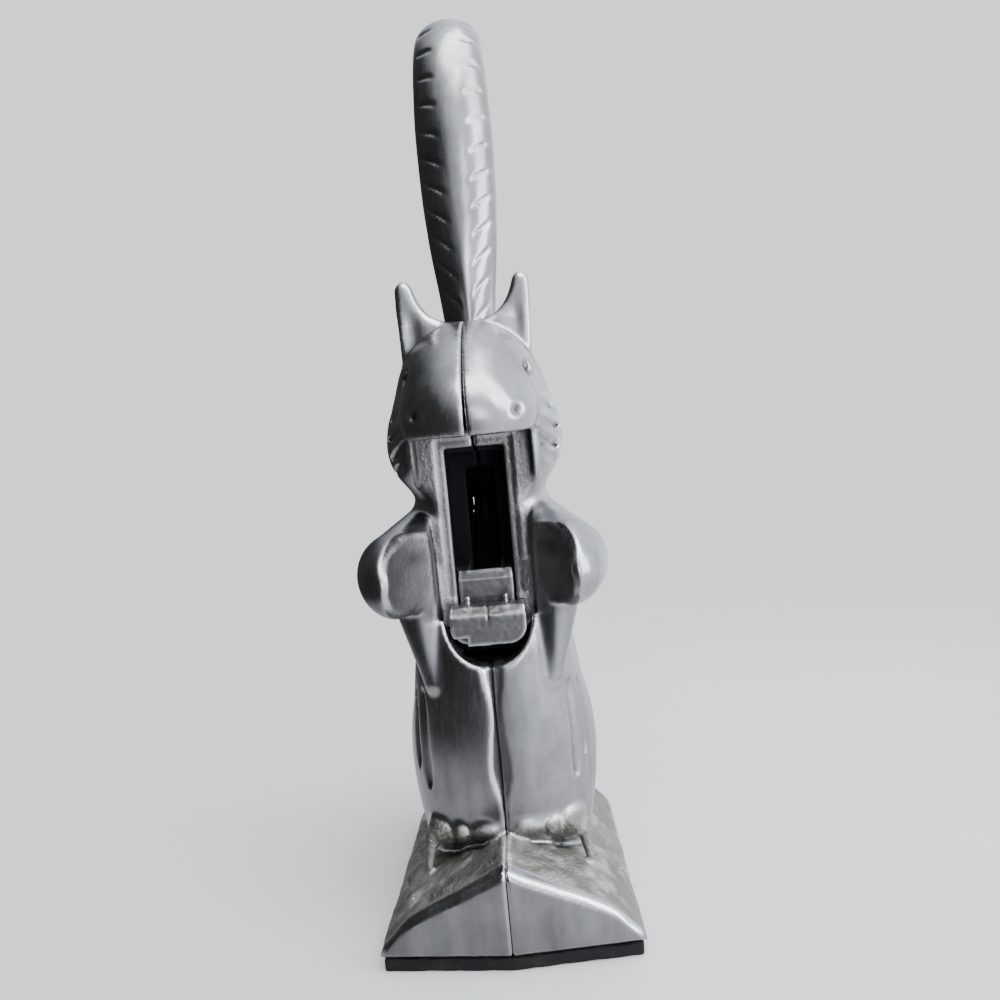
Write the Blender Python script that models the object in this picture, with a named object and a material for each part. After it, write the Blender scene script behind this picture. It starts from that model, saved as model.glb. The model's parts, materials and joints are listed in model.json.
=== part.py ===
"""Lever nutcracker in the shape of a sitting squirrel, cast in two aluminium halves.

The tail is the hand lever. It turns on a steel pin inside the back, and its short inner arm
lifts a crusher jaw up a pair of rails, from between the paws towards the underside of the muzzle.

Units: lengths below are millimetres and are turned into metres when a mesh is made.
Frame: +Z up, the squirrel faces -Y, X = 0 is the seam between the two halves, and the origin is
the centre of the pad's underside.
"""
import math

import bmesh
import bpy
from mathutils import Matrix, Vector

MM = 0.001
GAP = 0.3               # clearance left between neighbouring pieces
SEAM = 0.15             # each half stops this far from the seam plane
ROUND = 24              # sides of small round pieces
OVERCUT = 2.0           # a cutter passes this far beyond an open face
FAR = 60.0              # further out than any piece, for cutters that run out of the body

# base and pad
PAD_THICK = 3.0
PAD_INSET = 0.9
BASE_Z = PAD_THICK + GAP
BASE_FRONT_HALF = 28.0
BASE_REAR_HALF = 25.6
BASE_FRONT_Y = -31.5
BASE_PROW = 2.5         # the front face bulges this far forward at the seam
BASE_REAR_Y = 33.5
BASE_PEAK = 22.3        # height of the mound at the front of the seam
PAD_CORNER_R = 5.0

# lever and its drive
PIVOT = (23.0, 81.0)    # y, z of the lever's axis
ARM_RADIUS = 23.3       # pivot to drive pin
ARM_START = 31.0        # degrees that the arm hangs below level at rest
LEVER_HALF = 3.0
LEVER_SIDE_GAP = 0.4
LEVER_WAY = (           # y, z outline of the slot that the lever swings in
    (0.0, 61.0), (19.0, 61.0), (25.0, 70.0), (60.0, 69.0), (60.0, 150.0), (20.6, 150.0),
    (20.6, 104.0), (18.6, 91.5), (6.0, 102.0), (0.0, 102.0),
)
HUB_R = 7.5
HUB_WRAP = 78.0         # the hub's round reaches this many degrees to each side of the arm's line
ARM_TIP_R = 3.6
WASHER_R = 6.5
WASHER_THICK = 0.8
PIVOT_PIN_R = 2.5
PIVOT_PIN_HALF = 10.0
DRIVE_PIN_R = 2.0
DRIVE_PIN_HALF = 5.9
STOP_PIN_R = 2.0
STOP_PIN_HALF = 9.0

# jaw and rails
RAIL_FRONT = -7.0
RAIL_BACK = -2.0
CHANNEL_HALF = 6.5
RAIL_OUTER = 11.0
JAW_FLANGE_HALF = 8.35
JAW_WEB_HALF = 6.2
JAW_FRONT = -12.5
JAW_BACK = 7.4
JAW_WEB_FRONT = -9.0
JAW_BLOCK_FRONT = -6.6  # front of the upright block above the seat
JAW_FLANGE_BOTTOM = 63.0
JAW_CORNER_R = 4.0
JAW_CHAMFER = (1.6, 2.0)    # depth and height of the bevel along the seat's front edge
JAW_SLOT_SLACK = 0.5
JAW_BOTTOM = 60.0
SEAT_Z = 71.5
JAW_TOP = 78.5
FORK_HALF = 3.4
FORK_FRONT = -4.3
NUT_PIN_X = 4.2
NUT_PIN_Y = -9.6
NUT_PIN_R = 0.45
NUT_PIN_SUNK = 3.0
NUT_PIN_TALL = 2.0
ANVIL_Z = 109.6         # underside of the muzzle, which the nut is crushed against
NUT_SPACE_Y = -24.5     # middle and depth of the oval space between the paws
NUT_SPACE_DEEP = 16.5
RECESS_WIDE = 2.4       # recess between each rail and the outer wall of the neck
RECESS_Z = (90.0, 107.5)
NOTCH_R = 9.5           # half-round notch in the top of the chest
NOTCH_Z = 68.6
POCKET_TOP = 104.5
POCKET_SIDE_GAP = 0.45
CHANNEL_TOP = 106.0
CHANNEL_RUN = 1.5       # the channel goes this far below the jaw

# fasteners: y, z of each axis
SCREW_R = 1.9
SCREW_HEAD_R = 3.4
SCREW_HEAD_THICK = 2.2
SCREW_CROWN = ((0.0, 0.62), (0.5, 0.88), (1.2, 1.0))    # depth below the crown, share of the radius
SCREW_SLOT_HALF = 0.45
SCREW_SLOT_DEEP = 0.9
SCREWS = {
    "head_screw": (4.0, 112.5, 14.2, 10.0),
    "chest_screw": (-3.0, 47.0, 17.0, 12.0),
    "back_screw": (19.5, 47.0, 16.0, 12.0),
    "base_front_screw": (-23.0, 9.0, 19.6, 15.0),
    "base_rear_screw": (24.0, 9.0, 17.6, 13.0),
}                       # y, z, where the head's underside sits on the left, reach into the right
BOSS_R = 4.4
BOSSES = {"chest_screw": 16.3, "back_screw": 15.4}
DOWEL_R = 1.5
DOWEL_HALF = 5.0
DOWELS = {"head_dowel": (2.0, 124.0), "base_dowel": (1.0, 21.0)}


# ---------------------------------------------------------------- helpers

def clear_scene():
    for obj in list(bpy.data.objects):
        bpy.data.objects.remove(obj, do_unlink=True)


def material(name, colour, metallic, roughness):
    mat = bpy.data.materials.new(name)
    mat.use_nodes = True
    shader = mat.node_tree.nodes["Principled BSDF"]
    shader.inputs["Base Color"].default_value = (*colour, 1.0)
    shader.inputs["Metallic"].default_value = metallic
    shader.inputs["Roughness"].default_value = roughness
    return mat


def add_object(name, bm, mat=None, origin=(0.0, 0.0, 0.0), smooth=True):
    """Turn a bmesh drawn in millimetres into an object whose origin is at origin (mm)."""
    bmesh.ops.translate(bm, verts=bm.verts, vec=-Vector(origin))
    bmesh.ops.scale(bm, verts=bm.verts, vec=(MM, MM, MM))
    bmesh.ops.recalc_face_normals(bm, faces=bm.faces)
    mesh = bpy.data.meshes.new(name)
    bm.to_mesh(mesh)
    bm.free()
    if smooth:
        mesh.shade_smooth()
        mesh.set_sharp_from_angle(angle=math.radians(35))
    obj = bpy.data.objects.new(name, mesh)
    obj.location = Vector(origin) * MM
    bpy.context.collection.objects.link(obj)
    if mat:
        mesh.materials.append(mat)
    return obj


def guide(obj):
    """A solid that only shapes another one."""
    obj.hide_render = True
    obj.display_type = "WIRE"
    return obj


def boolean(obj, tool, operation):
    mod = obj.modifiers.new(f"{operation.lower()} {tool.name}", "BOOLEAN")
    mod.operation = operation
    mod.object = tool
    mod.solver = "EXACT"


def box(bm, low, high):
    size = [b - a for a, b in zip(low, high)]
    mid = [(a + b) / 2 for a, b in zip(low, high)]
    made = bmesh.ops.create_cube(bm, size=1.0)["verts"]
    bmesh.ops.scale(bm, verts=made, vec=size)
    bmesh.ops.translate(bm, verts=made, vec=mid)


def rod(bm, centre_yz, radius, x_low, x_high, sides=ROUND):
    """A cylinder along X."""
    turn = Matrix.Rotation(math.pi / 2, 4, "Y")
    made = bmesh.ops.create_cone(bm, cap_ends=True, segments=sides, radius1=radius, radius2=radius,
                                 depth=x_high - x_low, matrix=turn)["verts"]
    bmesh.ops.translate(bm, verts=made, vec=((x_low + x_high) / 2, *centre_yz))


def ellipsoid(bm, centre, radii, tilt=0.0, segments=28, rings=18):
    """An ellipsoid, tilted about X by tilt degrees."""
    made = bmesh.ops.create_uvsphere(bm, u_segments=segments, v_segments=rings, radius=1.0)["verts"]
    bmesh.ops.scale(bm, verts=made, vec=radii)
    bmesh.ops.rotate(bm, verts=made, matrix=Matrix.Rotation(math.radians(tilt), 3, "X"))
    bmesh.ops.translate(bm, verts=made, vec=centre)


def loft(bm, rings):
    """Skin a list of closed rings, each with the same number of points, and cap both ends."""
    loops = [[bm.verts.new(point) for point in ring] for ring in rings]
    count = len(loops[0])
    for lower, upper in zip(loops, loops[1:]):
        for i in range(count):
            j = (i + 1) % count
            bm.faces.new((lower[i], lower[j], upper[j], upper[i]))
    bm.faces.new(loops[0][::-1])
    bm.faces.new(loops[-1])
    bmesh.ops.recalc_face_normals(bm, faces=bm.faces)
    bmesh.ops.triangulate(bm, faces=bm.faces)


def plate(bm, outline_yz, x_low, x_high):
    """Extrude a side-view outline across X."""
    loft(bm, [[(x, y, z) for y, z in outline_yz] for x in (x_low, x_high)])


def arc(centre, radius, start, end, steps):
    """Points on an arc, angles in degrees."""
    points = []
    for i in range(steps + 1):
        angle = math.radians(start + (end - start) * i / steps)
        points.append((centre[0] + radius * math.cos(angle), centre[1] + radius * math.sin(angle)))
    return points


# ---------------------------------------------------------------- the cast halves

TORSO_SECTIONS = (      # height, half width, front y, back y
    (10.0, 19.0, -13.0, 25.0),
    (16.0, 20.8, -15.5, 29.0),
    (26.0, 21.8, -17.0, 31.0),
    (38.0, 21.8, -17.5, 31.0),
    (52.0, 20.4, -16.8, 30.0),
    (66.0, 18.4, -15.4, 30.0),
    (77.0, 16.6, -13.0, 30.0),
    (86.0, 15.5, -9.6, 28.0),
    (92.0, 15.2, -9.0, 24.0),
    (98.0, 15.7, -9.4, 20.0),
    (104.0, 17.0, -11.0, 18.5),
    (110.0, 17.4, -12.5, 17.5),
)
TORSO_SQUARENESS = 2.5
TORSO_HOLLOW = ((0.0, 7.0, 42.5), (17.0, 19.0, 18.5))       # centre, radii
FORM_VOXEL = 1.1
FORM_SMOOTHING = 5
FORM_KEEP = 0.085       # share of the triangles that the cast form keeps
BODY_FORMS = (          # centre, radii, tilt about X: what the right half has beyond the torso
    ((11.5, 10.0, 28.0), (10.8, 19.0, 18.0), 0.0),      # haunch
    ((0.0, 1.0, 113.5), (17.6, 18.0, 18.0), 0.0),       # head
    ((8.2, 1.0, 107.5), (11.6, 14.0, 11.5), 0.0),       # cheek
    ((0.0, -11.0, 116.5), (13.4, 16.6, 10.8), 14.0),    # muzzle
    ((0.0, -4.0, 119.3), (13.8, 15.5, 13.0), 0.0),      # forehead
    ((14.0, -4.0, 65.0), (5.2, 10.0, 13.5), 0.0),       # elbow
    ((13.0, -4.0, 83.0), (7.0, 14.0, 7.5), 14.0),       # upper arm
    ((17.2, -16.0, 80.6), (8.8, 11.5, 8.2), 0.0),       # paw
    ((13.5, -13.5, 15.5), (5.2, 7.2, 5.0), 0.0),        # foot
)
EAR_SECTIONS = (        # height, middle x, half width, half depth
    (124.0, 8.0, 5.5, 4.6),
    (129.5, 8.6, 6.0, 4.6),
    (133.6, 9.6, 4.9, 4.0),
    (135.4, 11.1, 3.5, 3.6),
    (138.4, 12.5, 2.4, 3.0),
    (141.4, 13.1, 1.7, 2.2),
    (143.7, 12.9, 0.9, 1.2),
)
NUT_SPACE_LEVELS = ((71.2, 17.6), (80.0, 18.6), (90.0, 18.4), (ANVIL_Z, 13.4))      # height, half width
EAR_Y = 6.0
MOUND_SIDE = (          # share of the half width, share of the peak's height above the base
    (0.0, 1.0), (0.16, 0.87), (0.37, 0.72), (0.61, 0.55), (0.78, 0.40), (1.0, 0.08),
)
MOUND_STATIONS = (      # share of the length, width share, height share
    (0.0, 1.0, 1.0), (0.35, 0.965, 0.97), (0.85, 0.93, 0.83), (0.96, 0.905, 0.76), (1.0, 0.86, 0.70),
)
MOUND_WALL = 3.4
MOUND_HOLLOW_STATIONS = ((0.28, 0.96, 0.95), (0.72, 0.93, 0.86))


def torso_ring(section, count=40):
    """A slightly squared oval around the torso."""
    z, half, front, back = section
    middle, deep = (front + back) / 2, (back - front) / 2
    power = 2.0 / TORSO_SQUARENESS
    ring = []
    for i in range(count):
        angle = 2 * math.pi * i / count
        u, v = math.cos(angle), math.sin(angle)
        ring.append((half * math.copysign(abs(u) ** power, u),
                     middle + deep * math.copysign(abs(v) ** power, v), z))
    return ring


def animal_form(name, side, mat):
    """One half of the squirrel as one soft closed form, a little past the seam plane."""
    bm = bmesh.new()
    loft(bm, [torso_ring(section) for section in TORSO_SECTIONS])
    for (x, y, z), radii, tilt in BODY_FORMS:
        ellipsoid(bm, (side * x, y, z), radii, tilt)
    form = add_object(name, bm, mat)
    fuse = form.modifiers.new("fuse", "REMESH")
    fuse.mode = "VOXEL"
    fuse.voxel_size = FORM_VOXEL * MM
    soften = form.modifiers.new("soften", "SMOOTH")
    soften.iterations = FORM_SMOOTHING
    thin = form.modifiers.new("thin", "DECIMATE")
    thin.ratio = FORM_KEEP
    form.modifiers.new("facets", "TRIANGULATE")
    return form


def mound_ring(side, share, wall=0.0):
    """Half of one cross-section of the base mound, from the seam to the edge and back along the foot."""
    place, wide, tall = share
    half = BASE_FRONT_HALF * wide - wall
    peak = (BASE_PEAK - BASE_Z) * tall - wall
    near = BASE_FRONT_Y + place * (BASE_REAR_Y - BASE_FRONT_Y)
    ring = []
    for across, up in MOUND_SIDE:
        prow = BASE_PROW * (1.0 - across) if place == 0.0 else 0.0
        ring.append((side * half * across, near - prow, BASE_Z + peak * up))
    ring.append((side * half, near, BASE_Z))
    prow = BASE_PROW if place == 0.0 else 0.0
    ring.append((0.0, near - prow, BASE_Z))
    return ring


def mound(side):
    bm = bmesh.new()
    loft(bm, [mound_ring(side, share) for share in MOUND_STATIONS])
    return guide(add_object("mound_form", bm, smooth=False))


def mound_hollow(side):
    """The middle of the underside is cored out; the ends stay solid for the screws."""
    bm = bmesh.new()
    rings = []
    for share in MOUND_HOLLOW_STATIONS:
        ring = mound_ring(side, share, wall=MOUND_WALL)
        rings.append(ring[:-2] + [(x, y, BASE_Z - OVERCUT) for x, y, z in ring[-2:]])
    loft(bm, rings)
    return guide(add_object("mound_hollow", bm, smooth=False))


def ear(side):
    bm = bmesh.new()
    rings = []
    for z, mid, half, deep in EAR_SECTIONS:
        spots = arc((0.0, 0.0), 1.0, 0, 337.5, 15)
        rings.append([(side * (mid + u * half), EAR_Y + v * deep, z) for u, v in spots])
    loft(bm, rings)
    return guide(add_object("ear_form", bm))


def body_hollow():
    """Cored inside of the torso."""
    bm = bmesh.new()
    centre, radii = TORSO_HOLLOW
    ellipsoid(bm, centre, radii, 0.0, 24, 14)
    return guide(add_object("body_hollow", bm))


def bosses(side):
    """Round bosses that carry two screws across the hollow torso."""
    bm = bmesh.new()
    for name, reach in BOSSES.items():
        low, high = sorted((side * SEAM / 2, side * reach))
        rod(bm, SCREWS[name][:2], BOSS_R, low, high, 16)
    return guide(add_object("boss_form", bm))


def nut_space():
    """Open space between the paws, with the flat fronts of the rails at its back."""
    wide = RAIL_OUTER + RECESS_WIDE - 0.8
    middle, deep = NUT_SPACE_Y, NUT_SPACE_DEEP
    bm = bmesh.new()
    rings = []
    for z, half in NUT_SPACE_LEVELS:
        stop = math.degrees(math.acos(wide / half))
        curve = [(x * half, middle + (y - middle) * deep) for x, y in arc((0.0, middle), 1.0, 0, stop, 8)]
        side = [(half, -FAR)] + curve + [(wide, RAIL_FRONT)]
        ring = side + [(-x, y) for x, y in reversed(side)]
        rings.append([(x, y, z) for x, y in ring])
    loft(bm, rings)
    return guide(add_object("nut_space", bm, smooth=False))


def rail_recess(sign):
    """Narrow recess between a rail and the outer wall of the neck."""
    bm = bmesh.new()
    low_z, high_z = RECESS_Z
    floor = (RAIL_FRONT + RAIL_BACK) / 2 + 1.0
    outline = [(-20.0, low_z), (floor, low_z), (floor, high_z), (-20.0, high_z)]
    low, high = sorted((sign * RAIL_OUTER, sign * (RAIL_OUTER + RECESS_WIDE)))
    plate(bm, outline, low, high)
    return guide(add_object("rail_recess", bm, smooth=False))


def chest_notch():
    """Half-round pocket in the top of the chest that the jaw's flange sinks into."""
    bm = bmesh.new()
    top = NOTCH_Z + NOTCH_R + OVERCUT
    outline = [(NOTCH_R, top)] + arc((0.0, NOTCH_Z), NOTCH_R, 0, -180, 20) + [(-NOTCH_R, top)]
    loft(bm, [[(x, y, z) for x, z in outline] for y in (-FAR, RAIL_FRONT)])
    return guide(add_object("chest_notch", bm, smooth=False))


def jaw_channel():
    """Channel between the rails, open at the front."""
    bm = bmesh.new()
    box(bm, (-CHANNEL_HALF, -FAR, JAW_BOTTOM - CHANNEL_RUN), (CHANNEL_HALF, RAIL_BACK + GAP, CHANNEL_TOP))
    return guide(add_object("jaw_channel", bm, smooth=False))


def jaw_pocket():
    """Wider pocket behind the rails, where the jaw's rear ears run."""
    bm = bmesh.new()
    half = JAW_FLANGE_HALF + POCKET_SIDE_GAP
    box(bm, (-half, RAIL_BACK, JAW_BOTTOM - OVERCUT), (half, JAW_BACK + 2 * GAP, POCKET_TOP))
    return guide(add_object("jaw_pocket", bm, smooth=False))


def lever_way():
    """Slot on the seam for the lever's arm, hub and shank, open at the back."""
    bm = bmesh.new()
    plate(bm, LEVER_WAY, -LEVER_HALF - LEVER_SIDE_GAP, LEVER_HALF + LEVER_SIDE_GAP)
    return guide(add_object("lever_way", bm, smooth=False))


def hub_pocket():
    """Round recess for the two washers beside the hub."""
    bm = bmesh.new()
    half = LEVER_HALF + GAP + WASHER_THICK + GAP
    rod(bm, PIVOT, WASHER_R + 2 * GAP, -half, half)
    return guide(add_object("hub_pocket", bm))


def cross_bores():
    """Bores on the seam for the pivot pin, the stop pin and the dowels."""
    bm = bmesh.new()
    rod(bm, PIVOT, PIVOT_PIN_R + GAP, -PIVOT_PIN_HALF - GAP, PIVOT_PIN_HALF + GAP)
    rod(bm, stop_pin_place(), STOP_PIN_R + GAP, -STOP_PIN_HALF - GAP, STOP_PIN_HALF + GAP)
    for place in DOWELS.values():
        rod(bm, place, DOWEL_R + GAP, -DOWEL_HALF - GAP, DOWEL_HALF + GAP)
    return guide(add_object("cross_bores", bm))


def screw_bores():
    """Stepped bores from the left flank: a counterbore for the head and a hole for the shank."""
    bm = bmesh.new()
    head, shank = SCREW_HEAD_R + GAP, SCREW_R + GAP
    for y, z, head_x, reach in SCREWS.values():
        seat = -head_x + GAP
        turn_profile(bm, (y, z), ((-FAR, head), (seat, head), (seat, shank), (reach + GAP, shank)))
    return guide(add_object("screw_bores", bm))


def turn_profile(bm, centre_yz, steps, sides=ROUND):
    """A stepped round piece along X, from a list of (x, radius)."""
    rings = []
    for x, radius in steps:
        rings.append([(x, y, z) for y, z in arc(centre_yz, radius, 0, 360 - 360 / sides, sides - 1)])
    loft(bm, rings)


def half_space(side):
    bm = bmesh.new()
    low, high = sorted((side * SEAM, side * FAR))
    box(bm, (low, -FAR, -FAR), (high, FAR, 3 * FAR))
    return guide(add_object("half_space", bm, smooth=False))


def body_half(name, side, cutters, mat):
    """One casting: side is +1 at +X and -1 at -X."""
    half = animal_form(name, side, mat)
    boolean(half, ear(side), "UNION")
    boolean(half, mound(side), "UNION")
    boolean(half, body_hollow(), "DIFFERENCE")
    boolean(half, mound_hollow(side), "DIFFERENCE")
    boolean(half, bosses(side), "UNION")
    boolean(half, half_space(side), "INTERSECT")
    for cutter in [rail_recess(side)] + cutters:
        boolean(half, cutter, "DIFFERENCE")
    return half


# ---------------------------------------------------------------- mechanism

def arm_tip(turned=0.0):
    """y, z of the drive pin after the lever has turned by some degrees."""
    angle = math.radians(ARM_START - turned)
    return (PIVOT[0] - ARM_RADIUS * math.cos(angle), PIVOT[1] - ARM_RADIUS * math.sin(angle))


def arm_outline():
    """Side view of the arm and hub: a round tip, straight tapering edges and a round hub."""
    tip_end = arc(arm_tip(), ARM_TIP_R, ARM_START + 90, ARM_START + 270, 10)
    hub_end = arc(PIVOT, HUB_R, ARM_START - HUB_WRAP, ARM_START + HUB_WRAP, 16)
    return tip_end, hub_end


def stop_pin_place():
    """The stop pin lies against the middle of the arm's lower edge and holds it at rest."""
    tip_end, hub_end = arm_outline()
    low, high = Vector(tip_end[-1]), Vector(hub_end[0])
    edge = (high - low).normalized()
    spot = (low + high) / 2 + Vector((edge.y, -edge.x)) * (STOP_PIN_R + GAP)
    return (spot.x, spot.y)


TAIL_SECTIONS = (       # y, z of the middle, half width, half depth
    (24.0, 84.0, 3.0, 7.0),
    (26.6, 97.0, 3.0, 6.2),
    (28.2, 109.0, 3.6, 6.0),
    (28.9, 124.0, 5.4, 6.0),
    (29.4, 141.0, 7.0, 6.4),
    (30.6, 155.0, 8.7, 6.8),
    (31.8, 168.0, 9.6, 7.0),
    (33.0, 181.0, 9.7, 7.0),
    (35.6, 192.5, 9.4, 6.7),
    (39.8, 201.5, 9.0, 6.3),
    (45.2, 206.6, 8.5, 5.9),
    (51.0, 208.0, 7.9, 5.5),
    (56.6, 206.0, 7.0, 5.0),
    (60.8, 201.0, 5.4, 4.2),
    (62.8, 194.5, 2.8, 2.6),
)


def tail_lever(mat):
    """Tail, hub and inner arm in one casting, with its origin on the pivot."""
    bm = bmesh.new()
    rings = []
    count = len(TAIL_SECTIONS)
    for i, (y, z, half, deep) in enumerate(TAIL_SECTIONS):
        before = TAIL_SECTIONS[max(i - 1, 0)]
        after = TAIL_SECTIONS[min(i + 1, count - 1)]
        along = Vector((0.0, after[0] - before[0], after[1] - before[1])).normalized()
        across = Vector((0.0, along.z, -along.y))
        ring = []
        for u, v in arc((0.0, 0.0), 1.0, 0, 342, 19):
            spot = Vector((half * u, y, z)) + across * deep * v
            ring.append(spot)
        rings.append(ring)
    loft(bm, rings)
    tail = guide(add_object("tail_form", bm))

    bm = bmesh.new()
    tip_end, hub_end = arm_outline()
    plate(bm, tip_end + hub_end, -LEVER_HALF, LEVER_HALF)
    lever = add_object("tail_lever", bm, mat, origin=(0.0, *PIVOT))
    boolean(lever, tail, "UNION")
    bm = bmesh.new()
    rod(bm, PIVOT, PIVOT_PIN_R + GAP, -2 * LEVER_HALF, 2 * LEVER_HALF)
    rod(bm, arm_tip(), DRIVE_PIN_R + GAP, -2 * LEVER_HALF, 2 * LEVER_HALF)
    boolean(lever, guide(add_object("lever_bores", bm)), "DIFFERENCE")
    return lever


def plain_pin(name, place_yz, radius, half_length, mat):
    """A round steel pin along X with a small lead at each end."""
    bm = bmesh.new()
    lead = radius / 5
    turn_profile(bm, place_yz, ((-half_length, radius - lead), (-half_length + lead, radius),
                                (half_length - lead, radius), (half_length, radius - lead)))
    return add_object(name, bm, mat, origin=(0.0, *place_yz))


def washer(name, side, mat):
    bm = bmesh.new()
    low, high = sorted((side * (LEVER_HALF + GAP), side * (LEVER_HALF + GAP + WASHER_THICK)))
    rod(bm, PIVOT, WASHER_R, low, high)
    piece = add_object(name, bm, mat, origin=(0.0, *PIVOT))
    bm = bmesh.new()
    rod(bm, PIVOT, PIVOT_PIN_R + GAP, low - OVERCUT, high + OVERCUT)
    boolean(piece, guide(add_object("washer_bore", bm)), "DIFFERENCE")
    return piece


def screw(name, mat):
    """Slotted round-head screw from the left half into the right one."""
    y, z, head_x, reach = SCREWS[name]
    bm = bmesh.new()
    crown = -head_x - SCREW_HEAD_THICK
    head = [(crown + drop, SCREW_HEAD_R * share) for drop, share in SCREW_CROWN]
    shank = [(-head_x, SCREW_HEAD_R), (-head_x, SCREW_R), (reach - GAP, SCREW_R), (reach, SCREW_R - GAP)]
    turn_profile(bm, (y, z), head + shank)
    piece = add_object(name, bm, mat, origin=(0.0, y, z))
    bm = bmesh.new()
    long, half = SCREW_HEAD_R + GAP, SCREW_SLOT_HALF
    box(bm, (crown - OVERCUT, y - long, z - half), (crown + SCREW_SLOT_DEEP, y + long, z + half))
    boolean(piece, guide(add_object("screw_slot", bm, smooth=False)), "DIFFERENCE")
    return piece


def crusher_jaw(mat):
    """Sliding jaw: seat and flange ahead of the rails, web between them, ears behind them."""
    bm = bmesh.new()
    turn = JAW_CORNER_R
    half = JAW_FLANGE_HALF
    flange = [(half, SEAT_Z)]
    flange += arc((half - turn, JAW_FLANGE_BOTTOM + turn), turn, 0, -90, 6)
    flange += arc((-half + turn, JAW_FLANGE_BOTTOM + turn), turn, -90, -180, 6)
    flange += [(-half, SEAT_Z)]
    back_off, drop = JAW_CHAMFER
    front = [(x, JAW_FRONT, min(z, SEAT_Z - drop)) for x, z in flange]
    chamfer = [(x, JAW_FRONT + back_off, z) for x, z in flange]
    back = [(x, RAIL_FRONT - GAP, z) for x, z in flange]
    loft(bm, [front, chamfer, back])
    jaw = add_object("crusher_jaw", bm, mat, origin=(0.0, 0.0, SEAT_Z), smooth=False)

    bm = bmesh.new()
    side = [(JAW_WEB_FRONT, JAW_BOTTOM + 4.0), (JAW_WEB_FRONT + 4.0, JAW_BOTTOM), (JAW_BACK, JAW_BOTTOM),
            (JAW_BACK, JAW_TOP), (JAW_BLOCK_FRONT + 1.2, JAW_TOP), (JAW_BLOCK_FRONT, JAW_TOP - 1.2),
            (JAW_BLOCK_FRONT, SEAT_Z - 1.0), (JAW_WEB_FRONT, SEAT_Z - 1.0)]
    plate(bm, side, -JAW_WEB_HALF, JAW_WEB_HALF)
    boolean(jaw, guide(add_object("jaw_web", bm, smooth=False)), "UNION")
    bm = bmesh.new()
    box(bm, (-JAW_FLANGE_HALF, RAIL_BACK + GAP, JAW_BOTTOM), (JAW_FLANGE_HALF, JAW_BACK, JAW_TOP))
    boolean(jaw, guide(add_object("jaw_ears", bm, smooth=False)), "UNION")

    bm = bmesh.new()
    low, high = JAW_BOTTOM - OVERCUT, JAW_TOP + OVERCUT
    box(bm, (-FORK_HALF, FORK_FRONT, low), (FORK_HALF, JAW_BACK + OVERCUT, high))
    boolean(jaw, guide(add_object("jaw_fork", bm, smooth=False)), "DIFFERENCE")
    bm = bmesh.new()
    near = arm_tip(ARM_START)[0]
    far, height = arm_tip()
    radius = DRIVE_PIN_R + JAW_SLOT_SLACK
    outline = arc((far, height), radius, -90, 90, 10) + arc((near, height), radius, 90, 270, 10)
    plate(bm, outline, -FAR, FAR)
    boolean(jaw, guide(add_object("jaw_slot", bm)), "DIFFERENCE")
    bm = bmesh.new()
    deep = NUT_PIN_SUNK + GAP
    for sign in (-1, 1):
        pin = bmesh.ops.create_cone(bm, cap_ends=True, segments=12, radius1=NUT_PIN_R + GAP,
                                    radius2=NUT_PIN_R + GAP, depth=2 * deep)["verts"]
        bmesh.ops.translate(bm, verts=pin, vec=(sign * NUT_PIN_X, NUT_PIN_Y, SEAT_Z))
    boolean(jaw, guide(add_object("nut_pin_bores", bm)), "DIFFERENCE")
    return jaw


def nut_pin(name, side, mat):
    """Short upright pin that keeps a nut from rolling off the seat."""
    bm = bmesh.new()
    rings = []
    top = SEAT_Z + NUT_PIN_TALL
    steps = ((SEAT_Z - NUT_PIN_SUNK, NUT_PIN_R), (top - GAP, NUT_PIN_R), (top, NUT_PIN_R / 2))
    for z, radius in steps:
        spots = arc((side * NUT_PIN_X, NUT_PIN_Y), radius, 0, 330, 11)
        rings.append([(x, y, z) for x, y in spots])
    loft(bm, rings)
    return add_object(name, bm, mat, origin=(side * NUT_PIN_X, NUT_PIN_Y, SEAT_Z))


def base_pad(mat):
    """Black pad under both halves, a little smaller than the base."""
    front = BASE_FRONT_HALF - PAD_INSET
    rear = BASE_REAR_HALF - PAD_INSET
    y_low = BASE_FRONT_Y + PAD_INSET
    y_high = BASE_REAR_Y - PAD_INSET
    turn = PAD_CORNER_R
    outline = [(0.0, y_low - BASE_PROW), (front, y_low)]
    outline += arc((rear - turn, y_high - turn), turn, 0, 90, 6)
    outline += arc((-rear + turn, y_high - turn), turn, 90, 180, 6)
    outline += [(-front, y_low)]
    bm = bmesh.new()
    loft(bm, [[(x, y, z) for x, y in outline] for z in (0.0, PAD_THICK)])
    return add_object("base_pad", bm, mat, smooth=False)


# ---------------------------------------------------------------- assembly

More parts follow.
